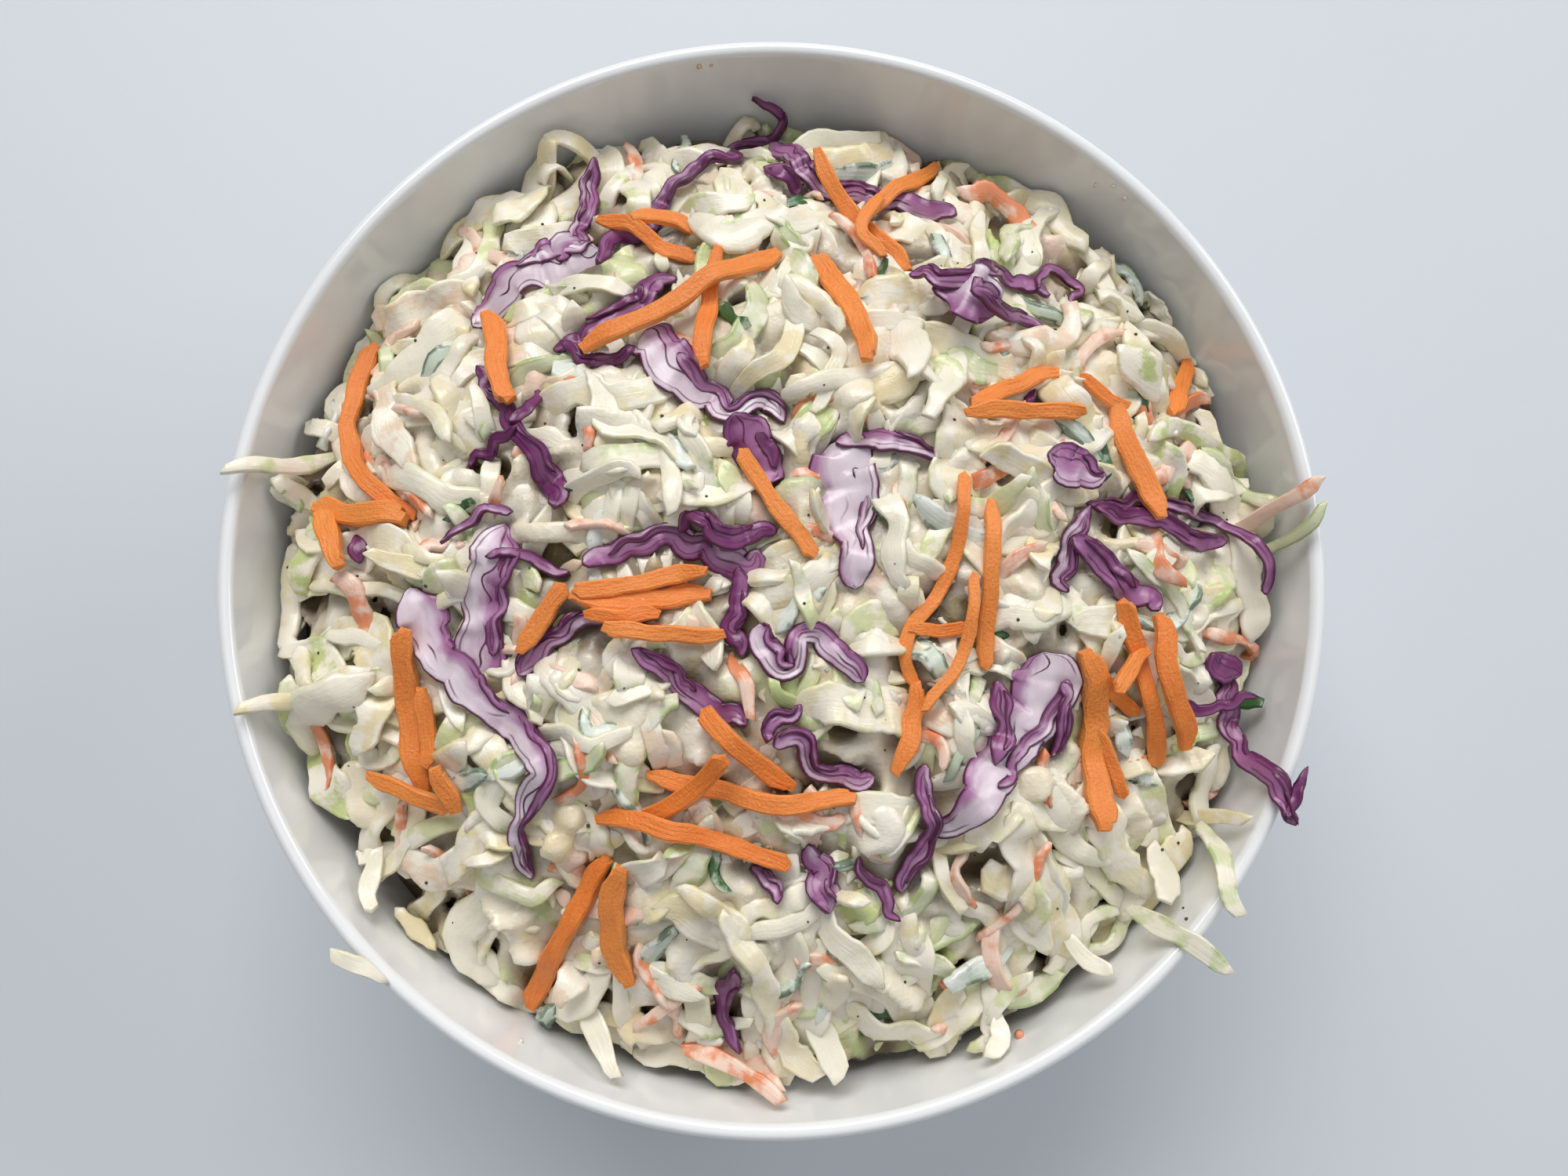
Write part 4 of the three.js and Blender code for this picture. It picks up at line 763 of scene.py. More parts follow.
def listed_shred(rng, width, points, depth, sink=0.15):
    """A shred of the fixed list, laid on the CAD model's slaw, or on the heap if it misses all of it."""
    line = smooth_line(points, FINE_SPACING)
    count = len(line)
    sides = side_vectors(line)
    line = line + sides[:, :2] * (0.22 * wobble(rng, count, 5) * min(width / 2.5, 1.4))[:, None]
    tops = []
    for place, side in zip(line, sides[:, :2]):
        hits = [ray_height(slaw_tree, *(place + side * reach)) for reach in (-LAYING_REACH, 0, LAYING_REACH)]
        hits = [hit for hit in hits if not math.isnan(hit)]
        tops.append(np.median(hits) if hits else math.nan)
    tops = np.array(tops)
    tops = blurred(filled(tops) if np.isfinite(tops).any() else heap_height(*line.T), 3)
    widths = width * (1 + 0.1 * wobble(rng, count, 4) + 0.06 * wobble(rng, count, 2))
    depths = depth * (1 + 0.12 * wobble(rng, count, 5)) * tapered(count, 0.5, 2)
    line = np.column_stack([line, tops - depths / 2 - sink + 0.25 * wobble(rng, count, 4)])
    line, widths = slant_cut(rng, line, sides, widths, FINE_SPACING)
    line = under_garnish(inside_bowl(line, width / 2 + WALL_GAP, BOWL_HEIGHT), widths, depths)
    roll = rng.normal(0, 0.14) + 0.16 * wobble(rng, count, 5)
    return (line, *rolled(line, side_vectors(line), roll), widths, depths)


def pick_tint(rng):
    draw = rng.random()
    for share, tint in TINTS:
        if draw < share:
            return tint
        draw -= share
    return CREAM


def marks(rng):
    """Attributes that tell one strip's pattern from another's."""
    return {"tone": rng.random(), "phase": rng.uniform(0, 50)}


def even_spots(rng, count, radius, jitter):
    """Spots spread evenly over a disc."""
    for index in range(count):
        reach = radius * math.sqrt((index + 0.5) / count)
        angle = index * GOLDEN_ANGLE
        x = reach * math.cos(angle) + rng.normal(0, jitter)
        yield x, reach * math.sin(angle) + rng.normal(0, jitter)


def coated_strips():
    """Every cream-coated shred and blob of dressing, before they run together."""
    rng = np.random.default_rng(SEED)
    batch = Batch()
    for layer in range(LAYERS):
        for x, y in even_spots(rng, FINE_COUNT // LAYERS, HEAP_RADIUS - 3, 3.0):
            level = LAYERS_REACH * (layer + rng.uniform(0.1, 0.95)) / LAYERS
            add_strip(batch, fine_shred(rng, x, y, level), ROUND_SECTION, tint=pick_tint(rng))
    for x, y in even_spots(rng, BLOB_COUNT, HEAP_RADIUS - 5, 4.0):
        strip = fine_shred(rng, x, y, rng.uniform(0.1, 0.62), (3, 7), (3.0, 5.0), 1.8)
        add_strip(batch, strip, ROUND_SECTION, tint=WHITE_CREAM)
    for x, y in even_spots(rng, TOP_BLOB_COUNT, HEAP_RADIUS - 9, 6.0):
        strip = fine_shred(rng, x, y, rng.uniform(0.66, 0.86), (5, 12), (3.5, 7.5), 1.7, tilt=0.25)
        add_strip(batch, strip, ROUND_SECTION, tint=pick_tint(rng))
    return batch


def top_shreds():
    """The coated shreds that lie on top, each with its own edges."""
    rng = np.random.default_rng(SEED + 5)
    batch = Batch()
    tints = [CREAM, CREAM, WHITE_CREAM, WARM_CREAM, PALE_GREEN]
    for number, (kind, width, *points) in enumerate(DRESSED_PIECES):
        if kind == "cabbage":
            strip = listed_shred(rng, width, points, 1.1 + 0.06 * width)
            cup = rng.uniform(-0.1, 0.1)
            add_strip(batch, strip, FLAT_SECTION, cup, tint=tints[number % len(tints)], **marks(rng))
    for x, y in even_spots(rng, TOP_COUNT, HEAP_RADIUS - 1.5, 2.5):
        level = rng.uniform(0.6, 1.03)
        strip = fine_shred(rng, x, y, level, (14, 34), (2.2, 7.2), 1.05, cut=True, pitch=3.6, tilt=0.28)
        cup = rng.uniform(-0.12, 0.12)
        add_strip(batch, strip, FLAT_SECTION, cup, tint=pick_tint(rng), **marks(rng))
    return batch


def loose_kind(rng, wanted, count, width, depth, level, size):
    """Strips of one kind: those of the fixed list, and finer ones spread among the others."""
    batch = Batch()
    for kind, listed_width, *points in DRESSED_PIECES:
        if kind == wanted:
            strip = listed_shred(rng, listed_width, points, depth, sink=-0.25)
            add_strip(batch, strip, FLAT_SECTION, **marks(rng))
    for x, y in even_spots(rng, count, HEAP_RADIUS - 6, 6.0):
        strip = fine_shred(rng, x, y, rng.uniform(*level), (9 * size, 20 * size), (0.7 * width, 1.4 * width),
                           depth, cut=True)
        add_strip(batch, strip, FLAT_SECTION, rng.uniform(-0.08, 0.08), **marks(rng))
    return batch


def add_rim_shreds(batch, wanted, depth, **attributes):
    """Shreds that climb the wall or hang over the bowl's rim, each along its own line in space."""
    rng = np.random.default_rng(SEED + 6)
    for kind, width, *points in RIM_PIECES:
        if kind != wanted:
            continue
        line = smooth_line(points, FINE_SPACING)
        count = len(line)
        sides = side_vectors(line)
        line, widths = slant_cut(rng, line, sides, width * (1 + 0.12 * wobble(rng, count, 4)), FINE_SPACING)
        line = inside_bowl(line, width / 2 + WALL_GAP, LIP_HEIGHT)
        strip = (line, *rolled(line, sides, 0.2 * wobble(rng, count, 5)), widths, np.full(count, depth))
        add_strip(batch, strip, FLAT_SECTION, RIM_CUP, **marks(rng), **attributes)


def mesh_numbers(items, key, width, kind=float):
    values = np.empty(len(items) * width, kind)
    items.foreach_get(key, values)
    return values.reshape(-1, width)


def run_together(batch, name, material):
    """Strips joined under one coat of dressing. What lies inside the core is dropped."""
    loose = batch.build("loose_strips")
    coat = loose.modifiers.new("coat", "REMESH")
    coat.mode = "VOXEL"
    coat.voxel_size = VOXEL * MM
    soften = loose.modifiers.new("soften", "SMOOTH")
    soften.factor = 0.5
    soften.iterations = 1
    whole = bpy.data.meshes.new_from_object(loose.evaluated_get(bpy.context.evaluated_depsgraph_get()))
    bpy.data.objects.remove(loose)
    places = mesh_numbers(whole.vertices, "co", 3) / MM
    quads = mesh_numbers(whole.loops, "vertex_index", 1, int).reshape(-1, 4)
    sunk = places[:, 2] < core_height(places[:, 0], places[:, 1]) - SUNK_DEPTH
    quads = quads[~sunk[quads].all(axis=1)]
    kept = np.unique(quads)
    renumber = np.full(len(places), -1)
    renumber[kept] = np.arange(len(kept))
    places = places[kept]
    tree = BVHTree.FromPolygons(np.concatenate(batch.vertices).tolist(), batch.faces)
    first_corner = np.array([face[0] for face in batch.faces])
    nearest = np.array([tree.find_nearest(Vector(place))[2] for place in places.tolist()])
    tints = np.concatenate(batch.attributes["tint"])[first_corner[nearest]]
    # How far each point lies below the heap's top, which the material turns into painted shade in the gaps.
    depth = read_map(cover_top, places[:, 0], places[:, 1]) - places[:, 2]
    return mesh_piece(name, places, renumber[quads].tolist(), material, tint=tints, depth=depth)


# Raw shreds -------------------------------------------------------------------------------------

def resting_line(name, index, points, thickness, spacing):
    """A shred's centreline on the solid that the CAD model has for its piece.

    The first shred of a piece follows the solid's underside, the others run one thickness below its top.
    """
    line = smooth_line(points, spacing)
    on_top = index > 0
    heights = np.array([ray_height(garnish_trees[name], x, y, on_top) for x, y in line])
    return np.column_stack([line, blurred(filled(heights - thickness * on_top), 4)])


def carrot_batch():
    rng = np.random.default_rng(SEED + 1)
    batch = Batch()
    for name, shreds in CARROT.items():
        for index, (width, *points) in enumerate(shreds):
            line = resting_line("carrot_" + name, index, points, CARROT_THICKNESS, CARROT_SPACING)
            count = len(line)
            sides = side_vectors(line)
            depth = width * rng.uniform(0.55, 0.75)
            line[:, 2] += depth / 2 + CARROT_LIFT + CARROT_STACKING * index
            line += sides * (0.14 * wobble(rng, count, 7))[:, None]
            widths = 1 + 0.06 * wobble(rng, count, 9) + 0.025 * wobble(rng, count, 1.5)
            widths *= width * CARROT_WIDENING
            line, widths = slant_cut(rng, line, sides, widths, CARROT_SPACING, (0.04, 0.2), (0.4, 1.5), 1.0)
            depths = depth * (1 + 0.06 * wobble(rng, count, 6)) * tapered(count, 0.6, 3)
            roll = rng.normal(0, 0.16) + 0.12 * wobble(rng, count, 10)
            strip = (line, *rolled(line, sides, roll), widths, depths)
            add_strip(batch, strip, CARROT_SECTION, **marks(rng))
    return batch


def add_slice(rng, batch, line, widths, thickness, roll, bend, tone):
    """A thin slice of red cabbage, waved and creased along its length."""
    count = len(line)
    sides, ups = rolled(line, side_vectors(line), roll)
    across = SLICE_ACROSS[None, :]
    ripple = wobble(rng, count, 5)[:, None] * across + wobble(rng, count, 7)[:, None] * across ** 2
    fold = np.cos(across * math.pi * 2 + 1.4 * wobble(rng, count, 8)[:, None])
    crease = (ripple * 0.06 + fold * 0.02) * np.minimum(widths, 6)[:, None] * bend
    reach = across * widths[:, None] / 2
    middle = line[:, None, :] + sides[:, None, :] * reach[:, :, None] + ups[:, None, :] * crease[:, :, None]
    half = (thickness / 2 * np.sqrt(1.06 - SLICE_ACROSS ** 10))[None, :, None] * ups[:, None, :]
    rings = np.concatenate([middle - half, (middle + half)[:, ::-1]], axis=1)
    add_tube(batch, line, widths, rings, np.r_[SLICE_ACROSS, SLICE_ACROSS[::-1]],
             tone=float(np.clip(tone, 0, 1)), phase=rng.uniform(0, 50), skin=rng.choice([-1.0, 1.0]))


def cabbage_batch():
    rng = np.random.default_rng(SEED + 2)
    batch = Batch()
    for name, (tone, *slices) in RED_CABBAGE.items():
        for index, (kind, start, end, *points) in enumerate(slices):
            cad_thickness, thickness, widening, sway, turning, fold_lift = SLICE_KINDS[kind]
            line = resting_line("red_cabbage_" + name, index, points, cad_thickness, SLICE_SPACING)
            count = len(line)
            sides = side_vectors(line)
            line += sides * (sway * wobble(rng, count, 5))[:, None]
            line[:, 2] += SLICE_LIFT + SLICE_STACKING * index + np.abs(0.35 * wobble(rng, count, 6))
            widths = (start + (end - start) * np.linspace(0, 1, count)) * widening
            widths *= 1 + 0.17 * wobble(rng, count, 9) + 0.04 * wobble(rng, count, 2.5)
            widths = np.maximum(widths, LEAST_SLICE_WIDTH) * tapered(count, 0.12, 9)
            roll = rng.normal(0, 0.1) + turning * wobble(rng, count, 7)
            slice_tone = tone + (0.25 if kind == "strand" and index > 0 else 0) + rng.normal(0, 0.06)
            add_slice(rng, batch, line, widths, thickness, roll, 1.0, slice_tone)
            length = int(count * rng.uniform(0.45, 0.75))
            if length < LEAST_FOLD_STATIONS or widths.max() < LEAST_FOLD_WIDTH:
                continue
            first = rng.integers(0, count - length + 1)
            part = slice(first, first + length)
            swing = rng.uniform(0.2, 0.34) + 0.07 * wobble(rng, length, 6)
            folded = line[part] + sides[part] * (widths[part] * swing)[:, None]
            folded[:, 2] += thickness / 2 + fold_lift
            narrow = np.maximum(widths[part] * rng.uniform(0.24, 0.4), LEAST_SLICE_WIDTH)
            narrow *= tapered(length, 0.15, 7)
            fold_roll = roll[part] + rng.uniform(-0.4, 0.4)
            fold_tone = slice_tone + rng.uniform(0.1, 0.4)
            add_slice(rng, batch, folded, narrow, FOLD_THICKNESS, fold_roll, 1.2, fold_tone)
    return batch


# Grains and crumbs ------------------------------------------------------------------------------

def grain(rng, place, size, flatness=0.7):
    """A small uneven lump: its vertices and faces."""
    rings = [ring_points(GRAIN_WAIST, height, GRAIN_SIDES) for height in (-0.5, 0.5)]
    vertices, faces = domed(rings, (0, 0, -1), (0, 0, 1))
    vertices *= 1 + GRAIN_UNEVENNESS * rng.normal(0, 1, vertices.shape)
    return vertices * (1, 1, flatness) * size + place, faces


def pepper_grains(pieces):
    """Grains of pepper on whatever lies uppermost."""
    rng = np.random.default_rng(SEED + 7)
    trees = [face_tree(piece) for piece in pieces]
    batch = Batch()
    for x, y in even_spots(rng, SPECK_COUNT, HEAP_RADIUS - 5, 5.0):
        heights = [height for height in (ray_height(tree, x, y) for tree in trees) if math.isfinite(height)]
        if heights:
            size = rng.uniform(*SPECK_SIZE)
            batch.add(*grain(rng, np.array([x, y, max(heights) + 0.3 * size]), size))
    return batch


def add_wall_crumbs(batch, wanted):
    """Crumbs that stick to the inside of the bowl's wall."""
    rng = np.random.default_rng(SEED + 8)
    for kind, azimuth, height, size in WALL_CRUMBS:
        if kind == wanted:
            radius = wall_radius(height) - CRUMB_SINKING * size
            angle = math.radians(azimuth)
            place = np.array([radius * math.cos(angle), radius * math.sin(angle), height])
            batch.add(*grain(rng, place, size, 0.9))


# Bowl and core ----------------------------------------------------------------------------------

def wall_points(top_radius, taper, bottom_height):
    """Radii and heights of a wall's face, from the lip down to the axis."""
    shares = [math.sin(math.pi / 2 * step / WALL_STEPS) ** 0.8 for step in range(WALL_STEPS)]
    points = [(wall_bend(top_radius, taper, share), LIP_HEIGHT + (bottom_height - LIP_HEIGHT) * share)
              for share in shares]
    return points + [(0.0, bottom_height)]


def bowl_piece(material):
    """The bowl, turned about the Z axis: up the foot and the outside, over the lip and down to the floor."""
    lip_radius = LIP_THICKNESS / 2
    outside, inside = FOOT_RADIUS, FOOT_RADIUS - FOOT_WIDTH
    foot = [
        (0.0, RECESS_HEIGHT), (inside - 1.3, RECESS_HEIGHT), (inside - 0.5, RECESS_HEIGHT - 0.5),
        (inside, 0.7), (inside + 0.2, 0.2), (inside + 0.7, 0), (outside - 0.7, 0), (outside - 0.2, 0.2),
        (outside, 0.7), (outside, FOOT_HEIGHT - 1.4), (outside + 0.25, FOOT_HEIGHT - 0.6),
        (outside + 0.8, FOOT_HEIGHT + 0.1),
    ]
    outer = wall_points(BOWL_RADIUS, OUTER_TAPER, FOOT_HEIGHT - 1)
    flank = [(r, z) for r, z in outer[::-1] if r > FOOT_RADIUS + 1.5 and z > FOOT_HEIGHT]
    lip = []
    for step in range(1, LIP_STEPS):
        angle = math.pi * step / LIP_STEPS
        radius = BOWL_RADIUS - lip_radius + lip_radius * math.cos(angle)
        lip.append((radius, LIP_HEIGHT + lip_radius * math.sin(angle)))
    section = foot + flank + lip + wall_points(BOWL_RADIUS - LIP_THICKNESS, WALL_TAPER, FLOOR_HEIGHT)
    rings = [ring_points(radius, height, BOWL_SIDES) for radius, height in section[1:-1]]
    skin = domed(rings, (0, 0, RECESS_HEIGHT), (0, 0, FLOOR_HEIGHT))
    return mesh_piece("porcelain_bowl", *skin, material)


def core_piece(material):
    """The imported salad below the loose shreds: it fills the bowl and ends under them."""
    low = FLOOR_HEIGHT + WALL_GAP
    rings = []
    for step in range(CORE_WALL_RINGS):
        height = low + (CORE_WALL_HEIGHT - FLOOR_HEIGHT) * (step / (CORE_WALL_RINGS - 1)) ** 1.5
        rings.append(ring_points(wall_radius(height) - WALL_GAP, height, CORE_SIDES))
    reach = wall_radius(CORE_TOP_HEIGHT) - WALL_GAP
    for ring in range(CORE_RINGS):
        rings.append(ring_points(reach * (1 - ring / CORE_RINGS), core_height, CORE_SIDES))
    return mesh_piece("salad_core", *domed(rings, (0, 0, low), (0, 0, core_height(0, 0))), material)


# Materials --------------------------------------------------------------------------------------

class Look:
    """A material, with short calls for the shader nodes that it is made of."""

    def __init__(self, name):
        self.material = bpy.data.materials.new(name)
        self.material.use_nodes = True
        self.tree = self.material.node_tree

    def feed(self, socket, value):
        if isinstance(value, bpy.types.NodeSocket):
            self.tree.links.new(value, socket)
        else:
            socket.default_value = value

    def node(self, kind, inputs, output=0, **settings):
        node = self.tree.nodes.new(kind)
        for name, value in settings.items():
            setattr(node, name, value)
        for key, value in inputs.items():
            self.feed(node.inputs[key], value)
        return node.outputs[output]

    def math(self, operation, *values, clamp=False):
        return self.node("ShaderNodeMath", dict(enumerate(values)), operation=operation, use_clamp=clamp)

    def times(self, first, second):
        return self.math("MULTIPLY", first, second)

    def scaled(self, value, factor, offset):
        return self.math("MULTIPLY_ADD", value, factor, offset)

    def size(self, value):
        """A value without its sign."""
        return self.math("ABSOLUTE", value)

    def less(self, first, second):
        return self.math("SUBTRACT", first, second)

    def larger(self, first, second):
        return self.math("MAXIMUM", first, second)

    def between(self, value, low, high):
        """0 below a value, 1 above another, and smooth between them."""
        inputs = {"Value": value, "From Min": low, "From Max": high}
        return self.node("ShaderNodeMapRange", inputs, "Result", interpolation_type="SMOOTHSTEP")

    def mix(self, share, first, second):
        node = self.tree.nodes.new("ShaderNodeMix")
        node.data_type = "RGBA"
        for key, value in (("Factor", share), ("A", first), ("B", second)):
            self.feed(next(socket for socket in node.inputs if socket.name == key and socket.enabled), value)
        return next(socket for socket in node.outputs if socket.enabled)

    def read(self, name, output="Fac"):
        return self.node("ShaderNodeAttribute", {}, output, attribute_name=name)

    def noise(self, scale, detail=3.0):
        """Noise fixed to the object. The scale is in waves per millimetre."""
        place = self.node("ShaderNodeTexCoord", {}, "Object")
        inputs = {"Vector": place, "Scale": scale / MM, "Detail": detail, "Roughness": NOISE_ROUGHNESS}
        return self.node("ShaderNodeTexNoise", inputs, "Fac")

    def strip_noise(self, along, across, detail=2.0):
        """Noise in a strip's own measure: stretched along its length, and different for each strip."""
        place = self.node("ShaderNodeCombineXYZ", {
            "X": self.times(self.read("along"), along),
            "Y": self.times(self.times(self.read("across"), self.read("half_width")), across),
            "Z": self.read("phase"),
        })
        return self.node("ShaderNodeTexNoise", {"Vector": place, "Scale": 1.0, "Detail": detail}, "Fac")

    def finished(self, color, roughness, bumps, coat=None, under=None):
        """The material with its colour, bumps, glossy coat and light that spreads under the skin."""
        values = {"Base Color": color, "Roughness": roughness}
        if coat:
            values["Coat Weight"], values["Coat Roughness"] = coat
        if under:
            values["Subsurface Weight"], values["Subsurface Radius"], reach = under
            values["Subsurface Scale"] = reach * MM
        for height, strength, distance in bumps:
            inputs = {"Height": height, "Strength": strength, "Distance": distance * MM}
            if "Normal" in values:
                inputs["Normal"] = values["Normal"]
            values["Normal"] = self.node("ShaderNodeBump", inputs, "Normal")
        for name, value in values.items():
            self.feed(self.tree.nodes["Principled BSDF"].inputs[name], value)
        return self.material


def porcelain_look():
    look = Look("porcelain")
    clouds = look.noise(0.03)
    color = look.mix(clouds, srgb(236, 238, 239), srgb(243, 244, 244))
    ripple = look.noise(0.05, 1.0)
    return look.finished(color, look.scaled(clouds, 0.08, 0.14), [(ripple, 0.02, 0.2)], (0.4, 0.05))


def coated_look():
    look = Look("coated_cabbage")
    coat = look.between(look.noise(0.16, 4.0), 0.42, 0.66)
    tinted = look.mix(coat, look.read("tint", "Color"), srgb(244, 235, 215))
    veins = look.between(look.noise(0.5), 0.58, 0.8)
    veined = look.mix(look.times(veins, 0.35), tinted, srgb(222, 212, 164))
    # Painted shade: the deeper a point lies below the heap's top, the more its colour goes to dark brown, as
    # shade in the gaps between the shreds.
    painted_shade = look.between(look.read("depth"), 1.1, 4.6)
    color = look.mix(look.times(painted_shade, 0.92), veined, srgb(84, 58, 26))
    bumps = [(look.noise(0.45), 0.5, 0.5), (look.noise(1.8, 2.0), 0.3, 0.12)]
    return look.finished(color, look.scaled(look.noise(0.35), 0.22, 0.2), bumps, (0.2, 0.12),
                         (0.15, (1.0, 0.8, 0.45), 0.8))


def core_look():
    look = Look("salad_core")
    # Painted shade: the core is coloured dark brown, where the salad itself is cream, so that it shows as
    # the shade deep in the gaps between the shreds.
    color = look.mix(look.noise(0.3, 4.0), srgb(72, 56, 30), srgb(150, 130, 92))
    return look.finished(color, 0.4, [(look.noise(0.4), 0.8, 1.0)])


def strip_look(name, inner, edge, coating, coat_low, coat_high, edge_reach, roughness, subsurface):
    """A vegetable strip: its flesh, its edges, and patches of dressing over both."""
    look = Look(name)
    inner, edge, coating = srgb(*inner), srgb(*edge), srgb(*coating)
    rim = look.scaled(look.strip_noise(0.3, 0.5), 0.25, look.size(look.read("across")))
    flesh = look.mix(look.between(rim, edge_reach, edge_reach + 0.3), inner, edge)
    grain = look.strip_noise(0.25, 2.2, 3.0)
    shaded = look.mix(look.times(grain, 0.5), flesh, inner)
    patches = look.noise(0.28, 4.0)
    coat = look.between(look.scaled(look.read("tone"), 0.16, patches), coat_low, coat_high)
    return look.finished(look.mix(coat, shaded, coating), look.scaled(patches, 0.25, roughness),
                         [(grain, 0.4, 0.25), (patches, 0.4, 0.5)], (0.3, 0.12),
                         (subsurface, (1.0, 0.8, 0.4), 0.8))


def shred_look():
    """A coated cabbage shred: translucent greenish edges and glossy patches of dressing."""
    look = Look("cabbage_shreds")
    rim = look.scaled(look.strip_noise(0.3, 0.5), 0.3, look.size(look.read("across")))
    grain = look.strip_noise(0.2, 2.6, 3.0)
    ribbed = look.mix(look.times(grain, 0.4), look.read("tint", "Color"), srgb(222, 218, 168))
    edged = look.mix(look.times(look.between(rim, 0.95, 1.2), 0.5), ribbed, srgb(208, 214, 156))
    patches = look.noise(0.24, 4.0)
    color = look.mix(look.between(patches, 0.44, 0.57), edged, srgb(245, 237, 219))
    bumps = [(grain, 0.35, 0.2), (look.noise(0.6), 0.4, 0.35)]
    return look.finished(color, look.scaled(patches, 0.25, 0.17), bumps, (0.2, 0.12),
                         (0.18, (1.0, 0.8, 0.45), 0.7))


def carrot_look():
    look = Look("raw_carrot")
    grain = look.strip_noise(0.35, 3.0, 4.0)
    flesh = look.mix(grain, srgb(226, 106, 30), srgb(246, 150, 66))
    toned = look.mix(look.times(look.read("tone"), 0.35), flesh, srgb(243, 164, 84))
    # Painted highlight: the sides of each strip are mixed towards a lighter orange, as light caught on the
    # edges.
    rim = look.between(look.size(look.read("across")), 0.86, 1.0)
    with_edge_highlight = look.mix(look.times(rim, 0.45), toned, srgb(240, 164, 92))
    specks = look.between(look.noise(2.6, 2.0), 0.66, 0.74)
    color = look.mix(look.times(specks, 0.5), with_edge_highlight, srgb(248, 206, 160))
    return look.finished(color, look.scaled(look.noise(0.7), 0.3, 0.34),
                         [(grain, 0.6, 0.35), (look.noise(2.4, 2.0), 0.7, 0.22)],
                         under=(0.2, (1.0, 0.35, 0.1), 0.8))


def cabbage_look():
    """Red cabbage: pale to dark flesh, darker to one side, with fine dark lines along it."""
    look = Look("raw_red_cabbage")
    across, half = look.read("across"), look.read("half_width")
    ragged = look.scaled(look.strip_noise(0.5, 0.4), 0.5, -0.25)
    inset = look.times(look.less(1.0, look.size(across)), half)
    inset = look.math("ADD", inset, look.times(ragged, 0.6))
    outline = look.less(1.0, look.between(inset, 0.16, 0.46))
    second = look.size(look.less(inset, SECOND_LINE_INSET))
    second = look.less(1.0, look.between(second, 0.05, 0.2))
    swerve = look.scaled(look.strip_noise(0.16, 0.0, 1.0), 2.4, -1.2)
    offset = look.size(look.times(look.less(across, swerve), half))
    middle = look.less(1.0, look.between(offset, 0.06, 0.24))
    broken = look.between(look.strip_noise(0.1, 0.0, 1.0), 0.46, 0.54)
    wide = look.times(look.between(half, 0.6, 1.2), broken)
    gaps = look.between(look.strip_noise(0.14, 0.0, 1.0), 0.42, 0.5)
    lines = look.larger(outline, look.times(middle, wide))
    lines = look.larger(lines, look.times(look.times(second, gaps), 0.7))
    clouds = look.strip_noise(0.22, 0.5, 3.0)
    pale = look.mix(clouds, srgb(236, 226, 230), srgb(206, 180, 198))
    mauve = look.mix(clouds, srgb(148, 84, 138), srgb(176, 118, 160))
    dark = look.mix(clouds, srgb(92, 28, 78), srgb(134, 54, 118))
    shifted = look.scaled(look.times(across, look.read("skin")), 0.5, 0.5)
    one_side = look.times(look.math("POWER", shifted, 2.4), 0.7)
    clouded = look.math("ADD", look.read("tone"), look.scaled(clouds, 0.7, -0.5))
    depth = look.math("ADD", one_side, clouded, clamp=True)
    face = look.mix(look.between(depth, 0.05, 0.5), pale, mauve)
    face = look.mix(look.between(depth, 0.5, 1.0), face, dark)
    skin = look.mix(look.strip_noise(0.4, 0.8), srgb(70, 20, 52), srgb(106, 34, 88))
    return look.finished(look.mix(lines, face, skin), look.scaled(clouds, 0.2, 0.26),
                         [(lines, 0.25, 0.15), (clouds, 0.4, 0.35)], (0.25, 0.15),
                         (0.15, (0.9, 0.5, 0.8), 0.8))


def grain_look(name, dark, light, roughness):
    look = Look(name)
    color = look.mix(look.noise(1.5), srgb(*dark), srgb(*light))
    return look.finished(color, roughness, [(look.noise(3.0), 0.5, 0.08)])


def table_look():
    look = Look("table_top")
    color = look.mix(look.noise(0.004, 4.0), srgb(206, 211, 217), srgb(214, 219, 223))
    return look.finished(color, 0.55, [(look.noise(1.2, 2.0), 0.05, 0.2)])


# Assembly ---------------------------------------------------------------------------------------

def placed(piece, slot, *nodes):
    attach(piece, "root")
    if nodes:
        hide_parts(*nodes)
    return piece


placed(bowl_piece(porcelain_look()), "porcelain", "bowl")
placed(core_piece(core_look()), "dressed_slaw", "slaw")
coated = placed(run_together(coated_strips(), "coated_cabbage", coated_look()), "dressed_slaw")
cabbage = top_shreds()
add_rim_shreds(cabbage, "cabbage", 0.8, tint=WHITE_CREAM)
shreds = placed(cabbage.build("cabbage_shreds", shred_look()), "dressed_slaw")

# Loose kinds: name, name in the lists, count, width, depth, level, size, depth at the rim, and look.
LOOSE_KINDS = [
    ("green_cabbage", "green_cabbage", 54, 3.2, 0.9, (0.75, 1.0), 1.0, 0.8,
     ((214, 218, 180), (160, 180, 106), (238, 232, 212), 0.5, 0.66, 0.66, 0.22, 0.15)),
    ("coated_carrot", "dressed_carrot", 70, 2.1, 1.1, (0.7, 1.0), 0.9, 1.3,
     ((232, 146, 102), (224, 120, 70), (243, 212, 192), 0.45, 0.64, 0.85, 0.26, 0.2)),
    ("cucumber", "cucumber", 42, 2.6, 1.1, (0.6, 0.95), 0.8, 0.8,
     ((206, 218, 200), (52, 84, 50), (228, 232, 222), 0.5, 0.66, 0.55, 0.14, 0.15)),
    ("herb", "herb", 26, 2.2, 0.5, (0.5, 0.88), 0.6, 0.8,
     ((58, 96, 52), (40, 74, 40), (190, 202, 176), 0.6, 0.72, 0.7, 0.2, 0.0)),
]
loose_rng = np.random.default_rng(SEED + 3)
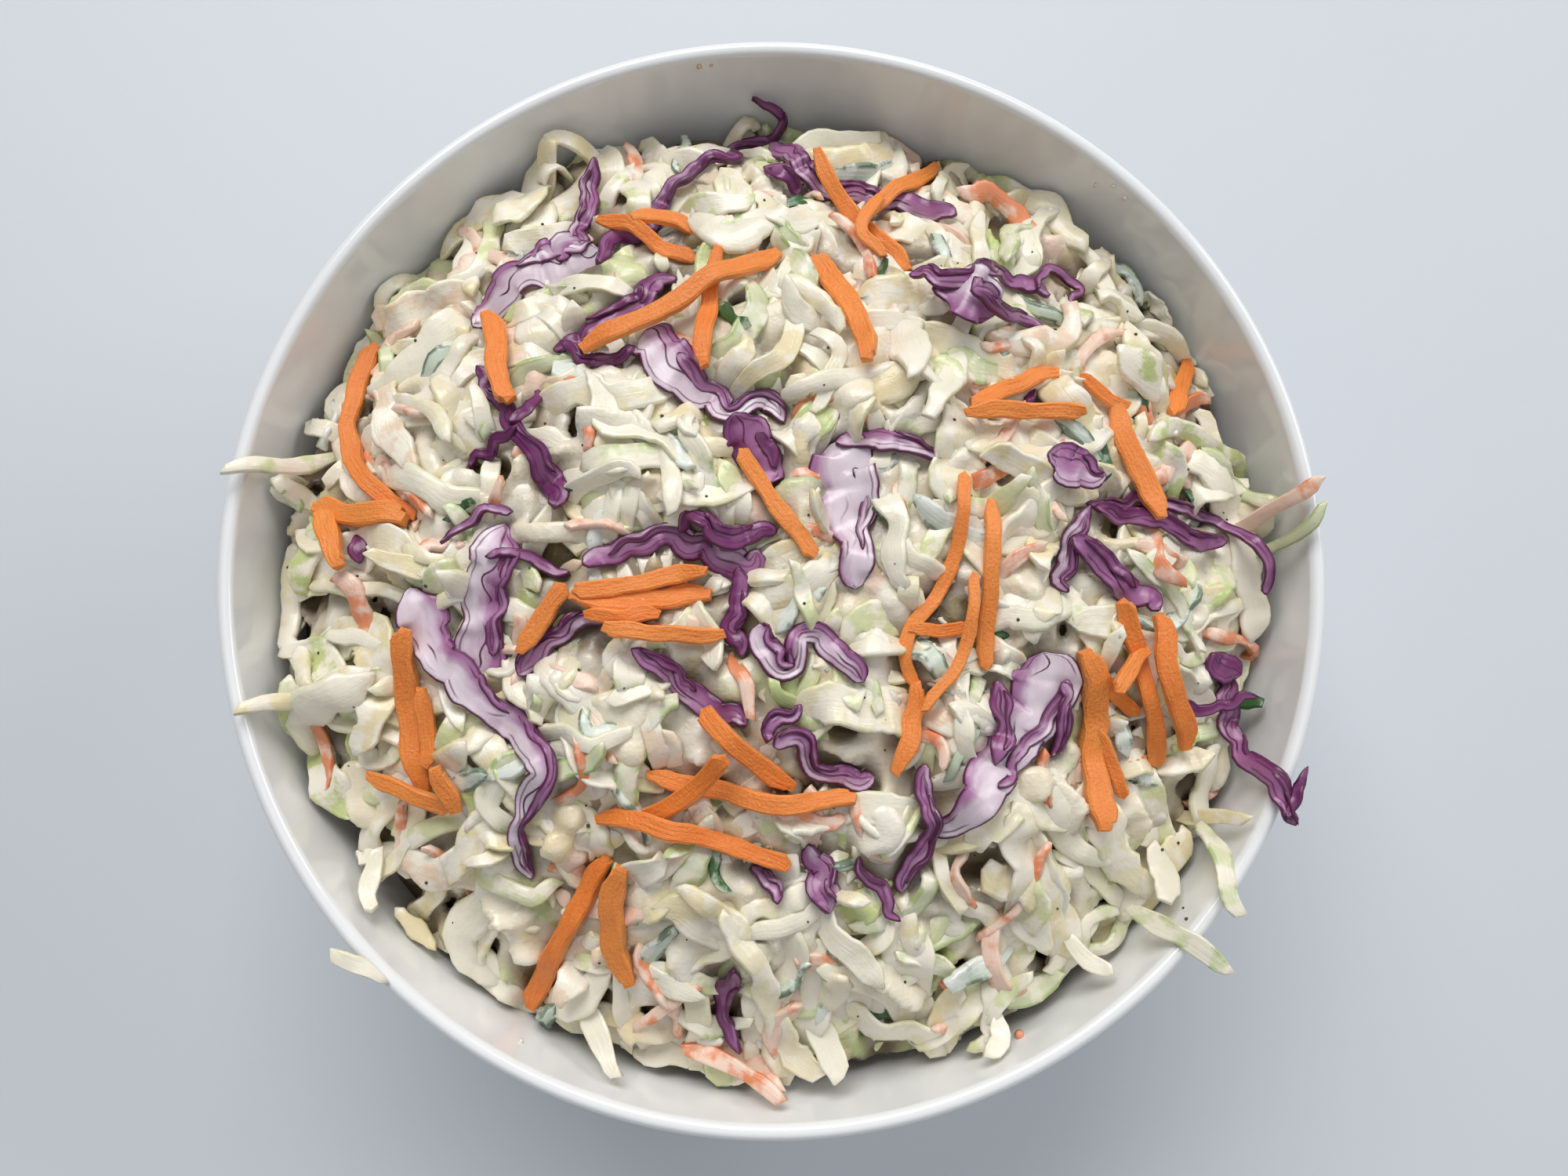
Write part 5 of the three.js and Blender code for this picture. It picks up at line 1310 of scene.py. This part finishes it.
for name, kind, *measures, rim_depth, look in LOOSE_KINDS:
    batch = loose_kind(loose_rng, kind, *measures)
    add_rim_shreds(batch, kind, rim_depth)
    placed(batch.build(name, strip_look(name, *look)), "dressed_slaw")

cabbage_nodes = ["red_cabbage_" + name for name in RED_CABBAGE]
carrot_nodes = ["carrot_" + name for name in CARROT]
placed(cabbage_batch().build("raw_red_cabbage", cabbage_look()), "red_cabbage", *cabbage_nodes)
placed(carrot_batch().build("raw_carrot", carrot_look(), CARROT_CRISP), "carrot", *carrot_nodes)

pepper = pepper_grains([coated, shreds])
add_wall_crumbs(pepper, "pepper")
placed(pepper.build("pepper", grain_look("pepper", (40, 34, 28), (96, 84, 66), 0.6)), "dressed_slaw")
CRUMB_LOOKS = {
    "beige": ((214, 186, 150), (230, 206, 172), 0.5),
    "white": ((236, 226, 210), (246, 240, 228), 0.3),
    "coral": ((226, 132, 96), (238, 170, 136), 0.4),
}
for kind, look in CRUMB_LOOKS.items():
    crumbs = Batch()
    add_wall_crumbs(crumbs, kind)
    placed(crumbs.build("wall_crumbs_" + kind, grain_look(kind + "_crumb", *look)), "dressed_slaw")

# Table, lights and camera -----------------------------------------------------------------------

bpy.ops.mesh.primitive_plane_add(size=TABLE_SIZE, location=(0, 0, 0))
table = bpy.context.object
table.name = "table_top"
table.data.materials.append(table_look())

# Area lights: name, place, target, size, power and colour.
LIGHTS = [
    ("window", (-0.2, 1.15, 1.25), (0, 0, 0.06), (1.3, 0.9), 23.0, (1.0, 0.99, 0.98)),
    ("side_fill", (1.2, 0.6, 0.8), (0, 0, 0.05), (0.8, 0.6), 6.0, (0.97, 0.985, 1.0)),
    ("ceiling", (0.0, -0.4, 1.1), (0, 0, 0.06), (1.2, 1.2), 3.0, (0.97, 0.985, 1.0)),
]
for name, place, target, size, power, color in LIGHTS:
    data = bpy.data.lights.new(name, "AREA")
    data.shape = "RECTANGLE"
    data.size, data.size_y = size
    data.energy = power
    data.color = color
    light = bpy.data.objects.new(name, data)
    bpy.context.scene.collection.objects.link(light)
    light.location = place
    light.rotation_euler = (Vector(target) - Vector(place)).to_track_quat("-Z", "Y").to_euler()

world = bpy.data.worlds.new("soft_room")
world.use_nodes = True
world.node_tree.nodes["Background"].inputs["Color"].default_value = ROOM_COLOUR
world.node_tree.nodes["Background"].inputs["Strength"].default_value = ROOM_LIGHT
bpy.context.scene.world = world
bpy.context.scene.view_settings.view_transform = "Standard"

# The camera looks down on the bowl, from a little in front of its middle.
forward = Vector((math.sin(CAMERA_YAW) * math.cos(CAMERA_TILT), math.sin(CAMERA_TILT) * math.cos(CAMERA_YAW),
                  -math.cos(CAMERA_TILT) * math.cos(CAMERA_YAW))).normalized()
right = forward.cross(Vector((0, math.cos(CAMERA_TILT), math.sin(CAMERA_TILT)))).normalized()
turn = Matrix((right, right.cross(forward), -forward)).transposed().to_4x4()
camera_data = bpy.data.cameras.new("camera")
camera_data.sensor_width = SENSOR_WIDTH
camera_data.lens = FOCAL_PIXELS / IMAGE_WIDTH * SENSOR_WIDTH
camera_data.clip_start = NEAREST_SEEN
camera = bpy.data.objects.new("camera", camera_data)
bpy.context.scene.collection.objects.link(camera)
camera.matrix_world = Matrix.Translation(Vector(CAMERA_PLACE) * MM) @ turn
bpy.context.scene.camera = camera
